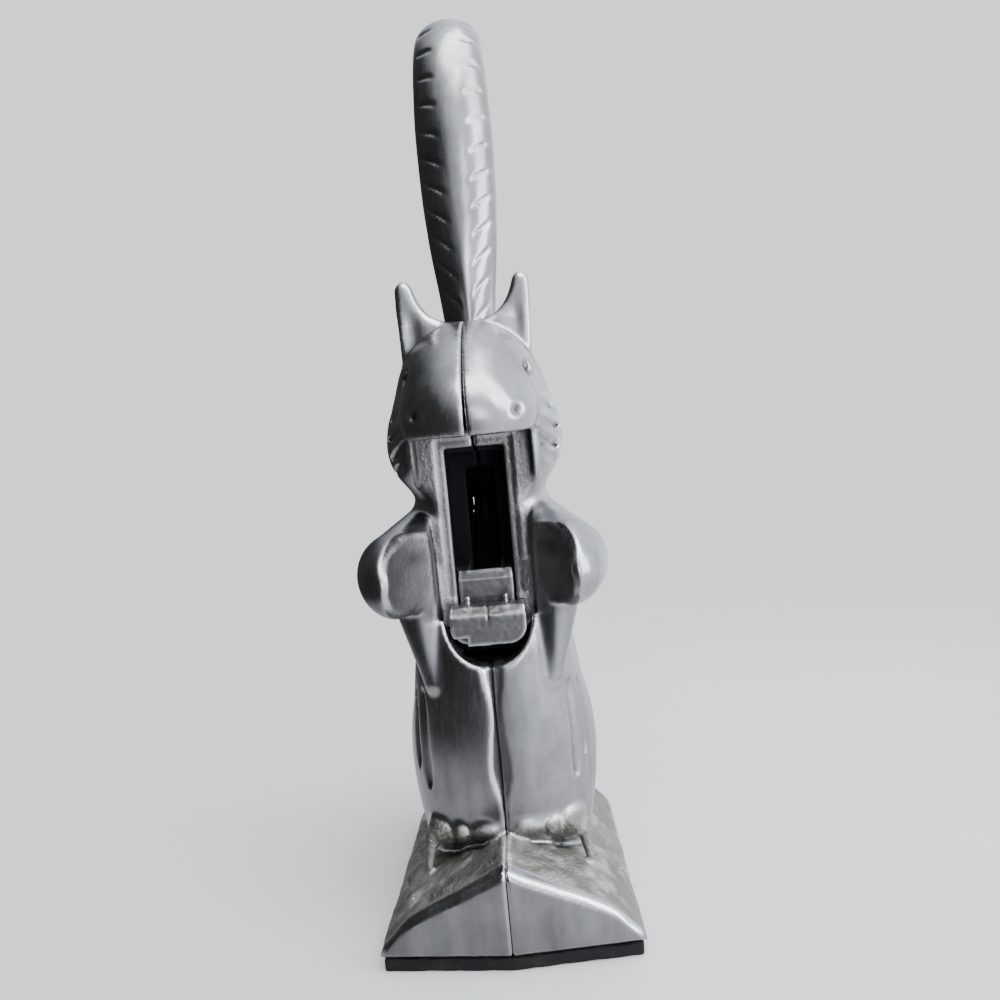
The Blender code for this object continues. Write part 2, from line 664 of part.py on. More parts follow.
def main():
    clear_scene()
    cast = material("cast_aluminium", (0.50, 0.50, 0.51), 1.0, 0.34)
    jaw_metal = material("jaw_metal", (0.46, 0.46, 0.46), 1.0, 0.45)
    steel = material("bright_steel", (0.62, 0.62, 0.63), 1.0, 0.25)
    rubber = material("black_pad", (0.015, 0.015, 0.016), 0.0, 0.75)

    cutters = [nut_space(), chest_notch(), jaw_channel(), jaw_pocket(), lever_way(),
               hub_pocket(), cross_bores(), screw_bores()]
    body_half("body_half_right", 1, cutters, cast)
    body_half("body_half_left", -1, cutters, cast)

    tail_lever(cast)
    plain_pin("lever_pivot_pin", PIVOT, PIVOT_PIN_R, PIVOT_PIN_HALF, steel)
    washer("pivot_washer_right", 1, steel)
    washer("pivot_washer_left", -1, steel)
    plain_pin("jaw_drive_pin", arm_tip(), DRIVE_PIN_R, DRIVE_PIN_HALF, steel)
    plain_pin("lever_stop_pin", stop_pin_place(), STOP_PIN_R, STOP_PIN_HALF, steel)
    crusher_jaw(jaw_metal)
    nut_pin("nut_pin_right", 1, steel)
    nut_pin("nut_pin_left", -1, steel)
    for name in SCREWS:
        screw(name, steel)
    for name, place in DOWELS.items():
        plain_pin(name, place, DOWEL_R, DOWEL_HALF, steel)
    base_pad(rubber)


main()
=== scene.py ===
import json
import math

import bmesh
import bpy
import numpy as np
from mathutils import Matrix, Vector


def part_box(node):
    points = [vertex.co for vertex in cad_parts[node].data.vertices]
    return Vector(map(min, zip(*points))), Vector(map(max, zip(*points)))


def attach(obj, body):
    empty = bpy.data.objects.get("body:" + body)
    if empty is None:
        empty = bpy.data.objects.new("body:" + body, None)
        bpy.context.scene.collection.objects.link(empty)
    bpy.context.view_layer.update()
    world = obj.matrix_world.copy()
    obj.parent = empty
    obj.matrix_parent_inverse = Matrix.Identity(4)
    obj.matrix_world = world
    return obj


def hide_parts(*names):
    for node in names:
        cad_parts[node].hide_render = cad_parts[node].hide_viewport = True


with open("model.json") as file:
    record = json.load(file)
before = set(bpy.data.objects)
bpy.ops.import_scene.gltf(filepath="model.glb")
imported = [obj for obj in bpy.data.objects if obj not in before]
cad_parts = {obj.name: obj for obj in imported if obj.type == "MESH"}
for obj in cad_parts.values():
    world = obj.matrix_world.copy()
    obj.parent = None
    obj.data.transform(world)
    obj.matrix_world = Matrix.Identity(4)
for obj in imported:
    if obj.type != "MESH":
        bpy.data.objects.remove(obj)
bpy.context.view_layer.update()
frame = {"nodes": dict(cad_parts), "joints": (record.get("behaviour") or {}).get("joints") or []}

# Looks of the squirrel nutcracker. Each piece but the washers is a signed distance field in
# millimetres, meshed on a fine grid, so that castings get soft creases and rounded edges and
# machined pieces crisp ones. +Z is up, the squirrel faces -Y, and X = 0 is the castings' seam.

MM = 0.001
GAP = 0.3                   # clearance between neighbouring pieces
RIGHT, LEFT = 1, -1         # the casting at +X and the one at -X


def place_of(node):
    """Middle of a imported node's box, in millimetres."""
    low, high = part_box(node)
    return (low + high) / 2 / MM


def span_of(node):
    """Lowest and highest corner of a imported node's box, in millimetres."""
    low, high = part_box(node)
    return low / MM, high / MM


HINGE = next(j for j in frame["joints"] if j["name"] == "tail_hinge")
PIVOT = (HINGE["pos_m"][1] / MM, HINGE["pos_m"][2] / MM)
DRIVE_PIN = tuple(place_of("jaw_drive_pin"))[1:]
STOP_PIN = tuple(place_of("lever_stop_pin"))[1:]
SCREW_NODES = ("head_screw", "chest_screw", "back_screw", "base_front_screw", "base_rear_screw")
DOWEL_NODES = ("head_dowel", "base_dowel")
HALF_LOW, HALF_HIGH = span_of("body_half_right")
JAW_LOW, JAW_HIGH = span_of("crusher_jaw")
PAD_LOW, PAD_HIGH = span_of("base_pad")

# Grid spacings of the fields.
BODY_STEP = 0.6
TAIL_STEP = 0.5
FINE_STEP = 0.25
PIN_STEP = 0.3
BEAD_STEP = 0.12

PIVOT_BORE_R = 2.8
PIN_BORE_R = 2.3            # bores for the stop pin and the drive pin
DOWEL_BORE_R = 1.8
SCREW_BORE_R, SCREW_POCKET_R = 2.2, 3.75
SCREW_HEAD_THICK = 2.2
PLUGGED = ("chest_screw", "base_front_screw")      # pockets closed flush with the casting


# ---- distance fields

def smooth_min(a, b, soft):
    share = np.clip(0.5 + 0.5 * (b - a) / soft, 0.0, 1.0)
    return b + (a - b) * share - soft * share * (1.0 - share)


def smooth_max(a, b, soft):
    return -smooth_min(-a, -b, soft)


def carve(solid, hole, soft=0.5):
    return smooth_max(solid, -hole, soft)


def chamfer_max(a, b, size):
    """Intersection with a flat bevel along the edge."""
    return np.maximum(np.maximum(a, b), (a + b + size) * math.sqrt(0.5))


def curve(t, points):
    """A smooth curve through (place, value) points that never overshoots them."""
    knots, values = np.array(points, np.float32).T
    secants = np.diff(values) / np.diff(knots)
    before, after = secants[:-1], secants[1:]
    level = before * after <= 0
    inner = np.where(level, 0.0, 2 * before * after / np.where(level, 1.0, before + after))
    slopes = np.concatenate([secants[:1], inner, secants[-1:]])
    t = np.asarray(t, np.float32)
    i = np.clip(np.searchsorted(knots, t) - 1, 0, len(knots) - 2)
    wide = knots[i + 1] - knots[i]
    u = np.clip((t - knots[i]) / wide, 0.0, 1.0)
    return ((1 + 2 * u) * (1 - u) ** 2 * values[i] + u * (1 - u) ** 2 * wide * slopes[i]
            + u * u * (3 - 2 * u) * values[i + 1] + u * u * (u - 1) * wide * slopes[i + 1])


def ramp(t, start, end):
    """Rises smoothly from 0 at start to 1 at end."""
    u = np.clip((t - start) / (end - start), 0.0, 1.0)
    return u * u * (3 - 2 * u)


def ellipsoid(x, y, z, centre, radii, tilt=0.0):
    """tilt turns it about X, in degrees, and a positive one lowers the front."""
    c, s = math.cos(math.radians(tilt)), math.sin(math.radians(tilt))
    dx, dy, dz = x - centre[0], y - centre[1], z - centre[2]
    dy, dz = dy * c + dz * s, dz * c - dy * s
    k0 = np.sqrt((dx / radii[0]) ** 2 + (dy / radii[1]) ** 2 + (dz / radii[2]) ** 2)
    k1 = np.sqrt((dx / radii[0] ** 2) ** 2 + (dy / radii[1] ** 2) ** 2 + (dz / radii[2] ** 2) ** 2)
    return k0 * (k0 - 1.0) / np.maximum(k1, 1e-4)


def ellipse(u, v, half_u, half_v):
    k0 = np.sqrt((u / half_u) ** 2 + (v / half_v) ** 2)
    k1 = np.sqrt((u / half_u ** 2) ** 2 + (v / half_v ** 2) ** 2)
    return k0 * (k0 - 1.0) / np.maximum(k1, 1e-4)


def bone(x, y, z, start, end, start_r, end_r):
    """A straight tapered limb with round ends."""
    ex, ey, ez = (b - a for a, b in zip(start, end))
    wx, wy, wz = x - start[0], y - start[1], z - start[2]
    t = np.clip((wx * ex + wy * ey + wz * ez) / (ex * ex + ey * ey + ez * ez), 0.0, 1.0)
    away = np.sqrt((wx - ex * t) ** 2 + (wy - ey * t) ** 2 + (wz - ez * t) ** 2)
    return away - (start_r + (end_r - start_r) * t)


def stroke(u, v, start, end, wide):
    """1 along a short stroke drawn in a flat view, fading to 0 beside it."""
    eu, ev = end[0] - start[0], end[1] - start[1]
    wu, wv = u - start[0], v - start[1]
    t = np.clip((wu * eu + wv * ev) / (eu * eu + ev * ev), 0.0, 1.0)
    away = (wu - eu * t) ** 2 + (wv - ev * t) ** 2
    return np.exp(-away / (wide * (1.0 - 0.6 * np.abs(2 * t - 1) ** 3)) ** 2)


def outline_distance(u, v, points):
    """Signed distance to a closed flat outline, negative inside."""
    nearest, sign = None, 1.0
    for (au, av), (bu, bv) in zip(points, points[1:] + points[:1]):
        eu, ev = bu - au, bv - av
        wu, wv = u - au, v - av
        t = np.clip((wu * eu + wv * ev) / (eu * eu + ev * ev), 0.0, 1.0)
        away = (wu - eu * t) ** 2 + (wv - ev * t) ** 2
        nearest = away if nearest is None else np.minimum(nearest, away)
        above, below, right = v >= av, v < bv, eu * wv > ev * wu
        flip = (above & below & right) | (~above & ~below & ~right)
        sign = np.where(flip, -sign, sign)
    return sign * np.sqrt(nearest)


def box(x, y, z, low, high, soft=0.3):
    """A block with softened edges."""
    sides = [np.abs(p - (a + b) / 2) - (b - a) / 2 for p, a, b in zip((x, y, z), low, high)]
    return smooth_max(smooth_max(sides[0], sides[1], soft), sides[2], soft)


def rod(x, y, z, centre_yz, radius, low_x, high_x, soft=0.3):
    """A cylinder along X."""
    side = np.sqrt((y - centre_yz[0]) ** 2 + (z - centre_yz[1]) ** 2) - radius
    return smooth_max(side, np.abs(x - (low_x + high_x) / 2) - (high_x - low_x) / 2, soft)


def noise(x, y, z, size, seed):
    """Smooth lattice noise from -1 to 1 with bumps about size wide."""
    total = 0.0
    px, py, pz = (np.asarray(p, np.float32) / size for p in (x, y, z))
    cells = [np.floor(p).astype(np.int64) for p in (px, py, pz)]
    parts = [p - c for p, c in zip((px, py, pz), cells)]
    parts = [p * p * (3 - 2 * p) for p in parts]
    for corner in range(8):
        steps = [(corner >> axis) & 1 for axis in range(3)]
        mixed = sum((c + s) * k for c, s, k in zip(cells, steps, (73856093, 19349663, 83492791)))
        mixed = (mixed + seed * 2654435761) & 0xFFFFFFFF
        mixed = ((mixed ^ (mixed >> 13)) * 1274126177) & 0xFFFFFFFF
        value = ((mixed ^ (mixed >> 16)) & 0xFFFF) / 32767.5 - 1.0
        weight = 1.0
        for p, s in zip(parts, steps):
            weight = weight * (p if s else 1.0 - p)
        total = total + value * weight
    return total.astype(np.float32)


# ---- meshing

CORNERS = [(i, j, k) for i in (0, 1) for j in (0, 1) for k in (0, 1)]
EDGES = [(a, b) for a in range(8) for b in range(a + 1, 8)
         if sum(abs(p - q) for p, q in zip(CORNERS[a], CORNERS[b])) == 1]
SETTLE_ROUNDS = 3
SHADE_REACH = 1.6           # how far out the shading layers feel for hollows


def gradient(field, points, reach=0.05):
    """Slope of the field at each point."""
    slopes = np.empty_like(points)
    for axis in range(3):
        ahead, behind = points.copy(), points.copy()
        ahead[:, axis] += reach
        behind[:, axis] -= reach
        slopes[:, axis] = (field(*ahead.T) - field(*behind.T)) / (2 * reach)
    return slopes


def grid(field, low, high, step):
    """The field sampled on a grid, shut off at the grid's border, and the grid's first point."""
    axes = [np.arange(a, b + step, step, dtype=np.float32) for a, b in zip(low, high)]
    shape = tuple(len(axis) for axis in axes)
    x, y, z = np.meshgrid(*axes, indexing="ij", sparse=True)
    samples = np.broadcast_to(field(x, y, z), shape).astype(np.float32)
    samples = np.pad(samples[1:-1, 1:-1, 1:-1], 1, constant_values=step)
    return samples, np.array([axis[0] for axis in axes])


def crossed_cells(inside):
    """Indices of the grid cells with corners on both sides of the surface."""
    shape = inside.shape
    mixed = np.zeros(tuple(n - 1 for n in shape), np.uint8)
    for i, j, k in CORNERS:
        mixed += inside[i:shape[0] - 1 + i, j:shape[1] - 1 + j, k:shape[2] - 1 + k]
    return np.argwhere((mixed > 0) & (mixed < len(CORNERS)))


def cell_points(samples, cells):
    """Mean of the crossings on each cell's edges, in grid units."""
    total = np.zeros((len(cells), 3))
    count = np.zeros(len(cells))
    for a, b in EDGES:
        first, second = cells + CORNERS[a], cells + CORNERS[b]
        fa, fb = samples[tuple(first.T)], samples[tuple(second.T)]
        crossed = (fa < 0) != (fb < 0)
        t = np.where(crossed, fa / np.where(crossed, fa - fb, 1.0), 0.0)
        total += np.where(crossed[:, None], first + (second - first) * t[:, None], 0.0)
        count += crossed
    return total / count[:, None]


def cell_quads(inside, cells):
    """One quad around each grid edge that the surface crosses, facing outward."""
    number = np.full(tuple(n - 1 for n in inside.shape), -1, np.int64)
    number[tuple(cells.T)] = np.arange(len(cells))
    quads = []
    for axis in range(3):
        ahead = [slice(None)] * 3
        behind = [slice(None)] * 3
        ahead[axis], behind[axis] = slice(1, None), slice(None, -1)
        changed = inside[tuple(behind)] != inside[tuple(ahead)]
        spots = np.argwhere(changed)
        enters = inside[tuple(behind)][tuple(spots.T)]
        u, v = [other for other in range(3) if other != axis]
        ring = []
        for du, dv in ((-1, -1), (0, -1), (0, 0), (-1, 0)):
            cell = spots.copy()
            cell[:, u] += du
            cell[:, v] += dv
            ring.append(number[tuple(cell.T)])
        quad = np.stack(ring, 1)
        outward = enters if axis != 1 else ~enters
        quad[~outward] = quad[~outward][:, ::-1]
        quads.append(quad)
    return np.concatenate(quads)


def settle(field, points, step):
    """Move the points onto the zero level, by at most half a step in each round."""
    for _ in range(SETTLE_ROUNDS):
        slopes = gradient(field, points)
        steep = np.maximum((slopes ** 2).sum(1), 0.05)
        move = slopes * (field(*points.T) / steep)[:, None]
        length = np.maximum(np.linalg.norm(move, axis=1), 1e-9)
        points -= move * np.minimum(1.0, 0.5 * step / length)[:, None]
    return points


def net(field, low, high, step):
    """Closed quad mesh on the field's zero level: one vertex in each crossed grid cell."""
    samples, origin = grid(field, low, high, step)
    inside = samples < 0
    cells = crossed_cells(inside)
    points = cell_points(samples, cells) * step + origin
    return settle(field, points, step), cell_quads(inside, cells)


def mesh_object(name, points, quads, side=RIGHT, crisp=None):
    """Object from millimetre points, mirrored to -X for the left side."""
    mesh = bpy.data.meshes.new(name)
    if side == LEFT:
        points = points * [-1, 1, 1]
        quads = quads[:, ::-1]
    mesh.vertices.add(len(points))
    mesh.vertices.foreach_set("co", (points * MM).astype(np.float32).ravel())
    mesh.loops.add(quads.size)
    mesh.loops.foreach_set("vertex_index", quads.astype(np.int32).ravel())
    mesh.polygons.add(len(quads))
    mesh.polygons.foreach_set("loop_start", np.arange(0, quads.size, 4, dtype=np.int32))
    mesh.update(calc_edges=True)
    mesh.validate()
    mesh.shade_smooth()
    if crisp:
        mesh.set_sharp_from_angle(angle=math.radians(crisp))
    obj = bpy.data.objects.new(name, mesh)
    bpy.context.scene.collection.objects.link(obj)
    return obj


def paint(obj, name, values):
    """Store one number per vertex for the materials to read."""
    layer = obj.data.attributes.new(name, "FLOAT", "POINT")
    layer.data.foreach_set("value", np.clip(values, 0.0, 1.0).astype(np.float32))


def shade_layers(obj, field, points, rough, painted_shade, painted_highlight):
    """Painted shade in hollows, bright wear on edges plus the given painted highlight, rough as-cast areas
    and the given painted shade.
    """
    slopes = gradient(field, points)
    normals = slopes / np.maximum(np.linalg.norm(slopes, axis=1), 1e-6)[:, None]
    outward = field(*(points + normals * SHADE_REACH).T) / SHADE_REACH
    inward = -field(*(points - normals * SHADE_REACH / 2).T) / (SHADE_REACH / 2)
    # Painted shade: darker where the surface is closed in, like ambient occlusion.
    paint(obj, "hollow_shade", (1.0 - outward) * 1.3)
    # Bright wear on convex edges, plus the painted highlight on one bevel.
    paint(obj, "edge", (1.0 - inward) * 1.6 + painted_highlight)
    paint(obj, "rough", rough)
    # Painted shade, from the given mask.
    paint(obj, "painted_shade", painted_shade)


def sculpt(name, field, low, high, step, rough=None, painted_shade=None, painted_highlight=None, side=RIGHT,
           crisp=None):
    """Mesh a field inside a box and paint its shading layers."""
    points, quads = net(field, [a - 2 * step for a in low], [b + 2 * step for b in high], step)
    obj = mesh_object(name, points, quads, side, crisp)
    blank = np.zeros(len(points))
    worn = rough(*points.T) if rough else blank
    # Masks of painted shade and of painted highlight, when given.
    shade_mask = painted_shade(*points.T) if painted_shade else blank
    shade_layers(obj, field, points, worn, shade_mask, painted_highlight(*points.T) if painted_highlight else blank)
    return obj


# ---- the cast halves

TORSO_HALF = ((10, 18.6), (16, 20.2), (26, 21.2), (38, 21.0), (52, 19.6), (66, 17.6), (77, 16.4),
              (86, 15.3), (92, 15.1), (98, 15.7), (104, 17.0), (110, 17.4))
TORSO_FRONT = ((10, -13.5), (16, -15.5), (26, -17.2), (38, -17.5), (52, -16.8), (66, -15.6),
               (77, -13.0), (86, -10.0), (92, -9.2), (98, -9.4), (104, -11.0), (110, -12.5))
TORSO_BACK = ((10, 25), (16, 29), (26, 31), (38, 31), (52, 30), (66, 30), (77, 30), (86, 28),
              (92, 24), (98, 20), (104, 18.5), (110, 17.5))
TORSO_SQUARE = 2.4
TORSO_BOTTOM, TORSO_TOP = 9.0, 112.0

MOUND_FRONT_HALF = 28.0
MOUND_FRONT = -31.5
MOUND_REAR = 33.5
MOUND_PROW = 2.5
MOUND_FOOT = 3.3
MOUND_PEAK = 22.3
MOUND_SIDE = ((0, 1), (0.16, 0.87), (0.37, 0.72), (0.61, 0.55), (0.78, 0.40), (0.92, 0.19), (1, 0.08))
MOUND_WIDTH = ((0, 1.0), (0.35, 0.965), (0.85, 0.93), (0.96, 0.915), (1, 0.9))
MOUND_HEIGHT = ((0, 1.0), (0.35, 0.97), (0.85, 0.83), (0.96, 0.76), (1, 0.70))

EAR_INNER = ((120, -9.0), (131.0, -5.0), (133.0, 0.0), (134.0, 4.6), (135.4, 7.6), (138.4, 10.0),
             (141.4, 11.2), (144, 11.8))
EAR_OUTER = ((120, 14.4), (126, 14.6), (129.5, 14.7), (133.6, 14.9), (138.4, 15.2), (141.4, 15.2),
             (144, 14.6))
EAR_THICK = ((120, 6.2), (129.5, 5.4), (133.6, 4.4), (138.4, 3.0), (141.4, 2.3), (144, 1.8))
EAR_Y = 6.0
EAR_TOP = 143.8
EYE_Y, EYE_Z = -8.4, 122.4
NOSTRIL_X, NOSTRIL_Z = 10.4, 114.0

ANVIL_Z = 109.6
RAIL_FRONT, RAIL_BACK = -7.0, -2.0
CHANNEL_HALF = 6.5
MOUTH_BLOCK = ((84, 10.7), (92, 11.4), (97, 12.6))
MOUTH_HALF = ((60, 17.4), (71.2, 17.6), (80, 18.6), (90, 18.4), (100, 16.2), (109.6, 13.4))
MOUTH_Y, MOUTH_DEEP = -24.5, 16.5
NOTCH_R, NOTCH_Z = 9.5, 68.6
LEVER_SLOT_HALF = 3.12
# Half width of the bevel and of the gap at the seam, by height.
SEAM_BEVEL = ((0, 0.1), (22, 0.15), (28, 0.6), (36, 2.2), (42, 1.7), (49, 0.9), (57, 2.0), (60, 2.3),
              (64, 0.4), (106, 0.2), (112, 0.3), (140, 0.2))
SEAM_GAP = ((0, 0.01), (60, 0.01), (70, 0.12), (104, 0.12), (112, 0.15), (122, 0.06), (131, 0.02))
LEVER_SLOT = [(0, 61), (19, 61), (25, 70), (60, 69), (60, 150), (20.6, 150), (20.6, 104),
              (18.6, 91.5), (6, 102), (0, 102)]


def torso(x, y, z):
    half, front, back = curve(z, TORSO_HALF), curve(z, TORSO_FRONT), curve(z, TORSO_BACK)
    middle, deep = (front + back) / 2, (back - front) / 2
    u, v = np.abs(x) / half, np.abs(y - middle) / deep
    total = np.maximum((u ** TORSO_SQUARE + v ** TORSO_SQUARE) ** (1 / TORSO_SQUARE), 0.1)
    slope = np.hypot(u ** (TORSO_SQUARE - 1) / half, v ** (TORSO_SQUARE - 1) / deep)
    wall = (total - 1.0) / (slope * total ** (1 - TORSO_SQUARE))
    return smooth_max(wall, np.maximum(TORSO_BOTTOM - z, z - TORSO_TOP), 3.0)


FLANK_STROKES = (       # y, z of each end as seen from the side, width, depth
    ((-8.0, 52.0), (-10.0, 31.0), 1.5, 0.9),
    ((-3.5, 51.0), (-6.0, 34.0), 1.3, 0.8),
    ((-6.0, 66.5), (-4.0, 63.0), 0.6, 0.5),
    ((-3.6, 67.0), (-1.6, 63.2), 0.6, 0.5),
    ((17.0, 40.0), (21.0, 30.0), 0.9, 0.6),
    ((13.0, 38.0), (17.0, 27.0), 0.9, 0.6),
    ((20.0, 66.0), (22.5, 58.0), 0.9, 0.6),
    ((15.5, 64.0), (18.5, 55.0), 0.9, 0.6),
    ((11.0, 63.0), (13.5, 54.5), 0.9, 0.6),
    ((18.0, 80.0), (20.5, 72.5), 0.8, 0.5),
)


def fur(x, y, z):
    """Short carved strokes on the flank and thigh, as depths to take away."""
    side = ramp(x, 10.0, 14.0)
    marks = 0.0
    for start, end, wide, deep in FLANK_STROKES:
        marks = marks + deep * stroke(y, z, start, end, wide)
    return marks * side


def torso_and_limbs(x, y, z):
    body = torso(x, y, z)
    thigh = ellipsoid(x, y, z, (13.8, 9.0, 33.0), (8.6, 17.5, 20.0), -8.0)
    body = smooth_min(body, thigh, 1.5) + fur(x, y, z)
    forearm = bone(x, y, z, (15.4, -7.6, 74.0), (13.4, -11.6, 55.5), 5.8, 1.9)
    body = smooth_min(body, forearm, 2.2)
    boss = ellipsoid(x, y, z, (8.5, PIVOT[0], PIVOT[1]), (4.7, 6.5, 6.5))
    body = smooth_min(body, boss, 3.0)
    arm = bone(x, y, z, (10.0, 4.0, 87.0), (18.5, -13.0, 81.5), 7.6, 8.0)
    paw = ellipsoid(x, y, z, (16.9, -16.5, 80.3), (9.0, 11.0, 8.4), 4.0)
    return smooth_min(body, smooth_min(arm, paw, 3.0), 2.2)


CHEEK_STROKES = (       # x, z of each end as seen from the front, width, depth
    ((14.4, 116.4), (17.6, 113.0), 1.1, 0.7),
    ((13.6, 113.2), (18.6, 108.8), 1.1, 1.1),
    ((13.4, 109.4), (18.0, 104.6), 1.1, 1.1),
    ((14.6, 105.6), (17.8, 101.4), 1.0, 0.8),
)


def head(x, y, z):
    skull = ellipsoid(x, y, z, (0.0, 3.5, 115.0), (17.2, 16.5, 18.6))
    cheek = ellipsoid(x, y, z, (9.1, 0.5, 106.8), (10.6, 13.0, 11.6))
    skull = smooth_min(skull, cheek, 4.5)
    for start, end, wide, deep in CHEEK_STROKES:
        skull = skull + deep * stroke(x, z, start, end, wide) * ramp(-y, -7.0, -3.0)
    return skull


def snout(x, y, z):
    """Forehead and muzzle in one broad slope, which ends in a lip above the mouth."""
    muzzle = ellipsoid(x, y, z, (0.0, -10.5, 115.4), (13.4, 16.2, 11.2), 15.0)
    forehead = ellipsoid(x, y, z, (0.0, -2.5, 118.8), (14.2, 14.5, 12.9), 10.0)
    corner = ellipsoid(x, y, z, (6.6, -12.5, 112.6), (6.8, 10.8, 5.6), 6.0)
    shape = smooth_min(smooth_min(muzzle, forehead, 5.0), corner, 5.0)
    away = np.hypot(x - NOSTRIL_X, z - NOSTRIL_Z)
    nostril = 0.8 * np.exp(-(away / 0.8) ** 2) - 0.12 * np.exp(-((away - 1.7) / 0.6) ** 2)
    return shape + nostril * ramp(-y, 10.0, 14.0)


def ear(x, y, z):
    inner, outer, thick = curve(z, EAR_INNER), curve(z, EAR_OUTER), curve(z, EAR_THICK)
    slope = (curve(z + 0.5, EAR_INNER) - curve(z - 0.5, EAR_INNER))
    inward = (inner - x) / np.sqrt(1 + slope * slope)
    flat = smooth_max(smooth_max(inward, x - outer, 1.2), z - EAR_TOP, 2.2)
    slab = np.abs(y - EAR_Y) - thick
    scoop = ellipsoid(x, y, z, (11.8, -3.2, 134.0), (2.4, 4.8, 6.5), 0.0)
    shape = smooth_max(smooth_max(flat, slab, 1.6), 118.0 - z, 2.0)
    return carve(shape, scoop, 2.4)


def eye(x, y, z):
    """Socket to carve, ball to add in it, and the crease of the brow to carve."""
    socket = ellipsoid(x, y, z, (14.3, EYE_Y, EYE_Z), (2.6, 2.9, 2.0), 20.0)
    ball = ellipsoid(x, y, z, (12.0, EYE_Y + 0.2, EYE_Z), (1.5, 1.6, 1.3))
    brow = bone(x, y, z, (14.6, -10.0, 126.2), (14.2, -5.4, 127.0), 0.9, 0.6)
    return socket, ball, brow


def feet(x, y, z):
    """A low row of toes in front of the belly, and one claw that runs down the ground."""
    toes = ellipsoid(x, y, z, (4.4, -13.7, 21.8), (4.8, 3.8, 2.2), -8.0)
    knuckle = ellipsoid(x, y, z, (9.9, -13.1, 21.6), (2.2, 3.9, 2.3))
    foot = ellipsoid(x, y, z, (14.2, -11.0, 20.8), (3.6, 4.2, 3.0))
    claw = bone(x, y, z, (17.0, -12.2, 19.6), (18.0, -15.6, 14.0), 1.7, 1.0)
    row = smooth_min(smooth_min(toes, knuckle, 0.6), foot, 1.0)
    return smooth_min(row, claw, 1.4) + 0.2 * noise(x, y, z, 2.6, 5)


def mound(x, y, z):
    """Base with a flat prowed front, a bevel along its roof edge, and rough ground behind."""
    place = np.clip((y - MOUND_FRONT) / (MOUND_REAR - MOUND_FRONT), 0.0, 1.0)
    half = MOUND_FRONT_HALF * curve(place, MOUND_WIDTH)
    across = np.clip(np.abs(x) / half, 0.0, 1.0)
    rise = MOUND_PEAK - MOUND_FOOT
    top = MOUND_FOOT + rise * curve(place, MOUND_HEIGHT) * curve(across, MOUND_SIDE)
    ground = (z - top) * 0.78
    behind = ramp(y, MOUND_FRONT + 1.5, MOUND_FRONT + 5.0)
    rough = 0.42 * noise(x, y, z, 4.2, 1) + 0.28 * noise(x, y, z, 1.9, 2)
    swirl = stroke(x, y, (20.5, -6.0), (22.5, 2.0), 1.2) + stroke(x, y, (23.0, -14.0), (24.2, -9.0), 0.8)
    ground = ground + behind * (rough + 0.5 * swirl)
    wall = smooth_max(np.abs(x) - half, y - MOUND_REAR, 5.0)
    solid = smooth_max(smooth_max(ground, wall, 1.6), MOUND_FOOT - z, 0.5)
    front = MOUND_FRONT - MOUND_PROW * (1.0 - across) - y
    return chamfer_max(solid, front, 1.0)


def mouth(x, y, z):
    """Open space between the paws, up to the flat under the muzzle."""
    half = curve(z, MOUTH_HALF)
    half = half + 0.3 * noise(0.0 * x, 0.0 * y, z, 3.4, 31) * ramp(-y, 17.0, 22.0)
    oval = ellipse(x, np.maximum(y - MOUTH_Y, 0.0), half, MOUTH_DEEP)
    block = np.maximum(np.abs(x) - curve(z, MOUTH_BLOCK), y - RAIL_FRONT)
    space = smooth_min(smooth_max(oval, y - RAIL_FRONT, 0.5), block, 1.0)
    floor = 71.4 - 0.62 * np.clip(y + 15.0, -2.0, 12.0)
    return smooth_max(smooth_max(space, z - ANVIL_Z, 0.6), (floor - z) * 0.85, 0.6)


def rail_step(x, y, z):
    """A shallow machined step along the inner part of each rail."""
    return box(x, y, z, (-9.0, -12.0, 73.0), (8.4, RAIL_FRONT + 0.4, 108.0), 0.3)


def jaw_way(x, y, z):
    """Notch in the chest, channel between the rails and pocket behind them."""
    notch = np.where(z > NOTCH_Z, np.abs(x) - NOTCH_R, np.hypot(x, z - NOTCH_Z) - NOTCH_R)
    notch = np.maximum(np.maximum(notch, y - RAIL_FRONT), z - 80.0)
    channel = box(x, y, z, (-9.0, -11.5, 58.5), (CHANNEL_HALF, RAIL_BACK + 1.0, 106.0), 0.3)
    pocket = box(x, y, z, (-9.0, RAIL_BACK, 58.0), (8.8, 8.0, 104.5), 0.3)
    return notch, np.minimum(channel, pocket)


def lever_way(x, y, z):
    """Slot for the lever, with a round recess for the washers beside its hub."""
    slot = np.maximum(outline_distance(y, z, LEVER_SLOT), np.abs(x) - LEVER_SLOT_HALF)
    return np.minimum(slot, rod(x, y, z, PIVOT, 7.1, -4.4, 4.4))


def inner_bores(x, y, z):
    """Bores for the pivot, the stop pin and the dowels, which don't reach the outside."""
    bores = rod(x, y, z, PIVOT, PIVOT_BORE_R, -10.3, 10.3)
    bores = np.minimum(bores, rod(x, y, z, STOP_PIN, PIN_BORE_R, -9.3, 9.3))
    for node in DOWEL_NODES:
        centre = tuple(place_of(node))[1:]
        bores = np.minimum(bores, rod(x, y, z, centre, DOWEL_BORE_R, -5.3, 5.3))
    return bores


def screw_bores(x, y, z, side):
    """Plain holes across the seam, and on the left the pockets of the screws in view."""
    bores = None
    for node in SCREW_NODES:
        low, high = span_of(node)
        centre = ((low.y + high.y) / 2, (low.z + high.z) / 2)
        seat = -low.x - SCREW_HEAD_THICK
        reach = high.x + GAP if side == RIGHT else seat + 1.0
        hole = rod(x, y, z, centre, SCREW_BORE_R, -1.0, reach)
        if side == LEFT and node not in PLUGGED:
            hole = np.minimum(hole, rod(x, y, z, centre, SCREW_POCKET_R, seat - GAP, 40.0))
        bores = hole if bores is None else np.minimum(bores, hole)
    return bores


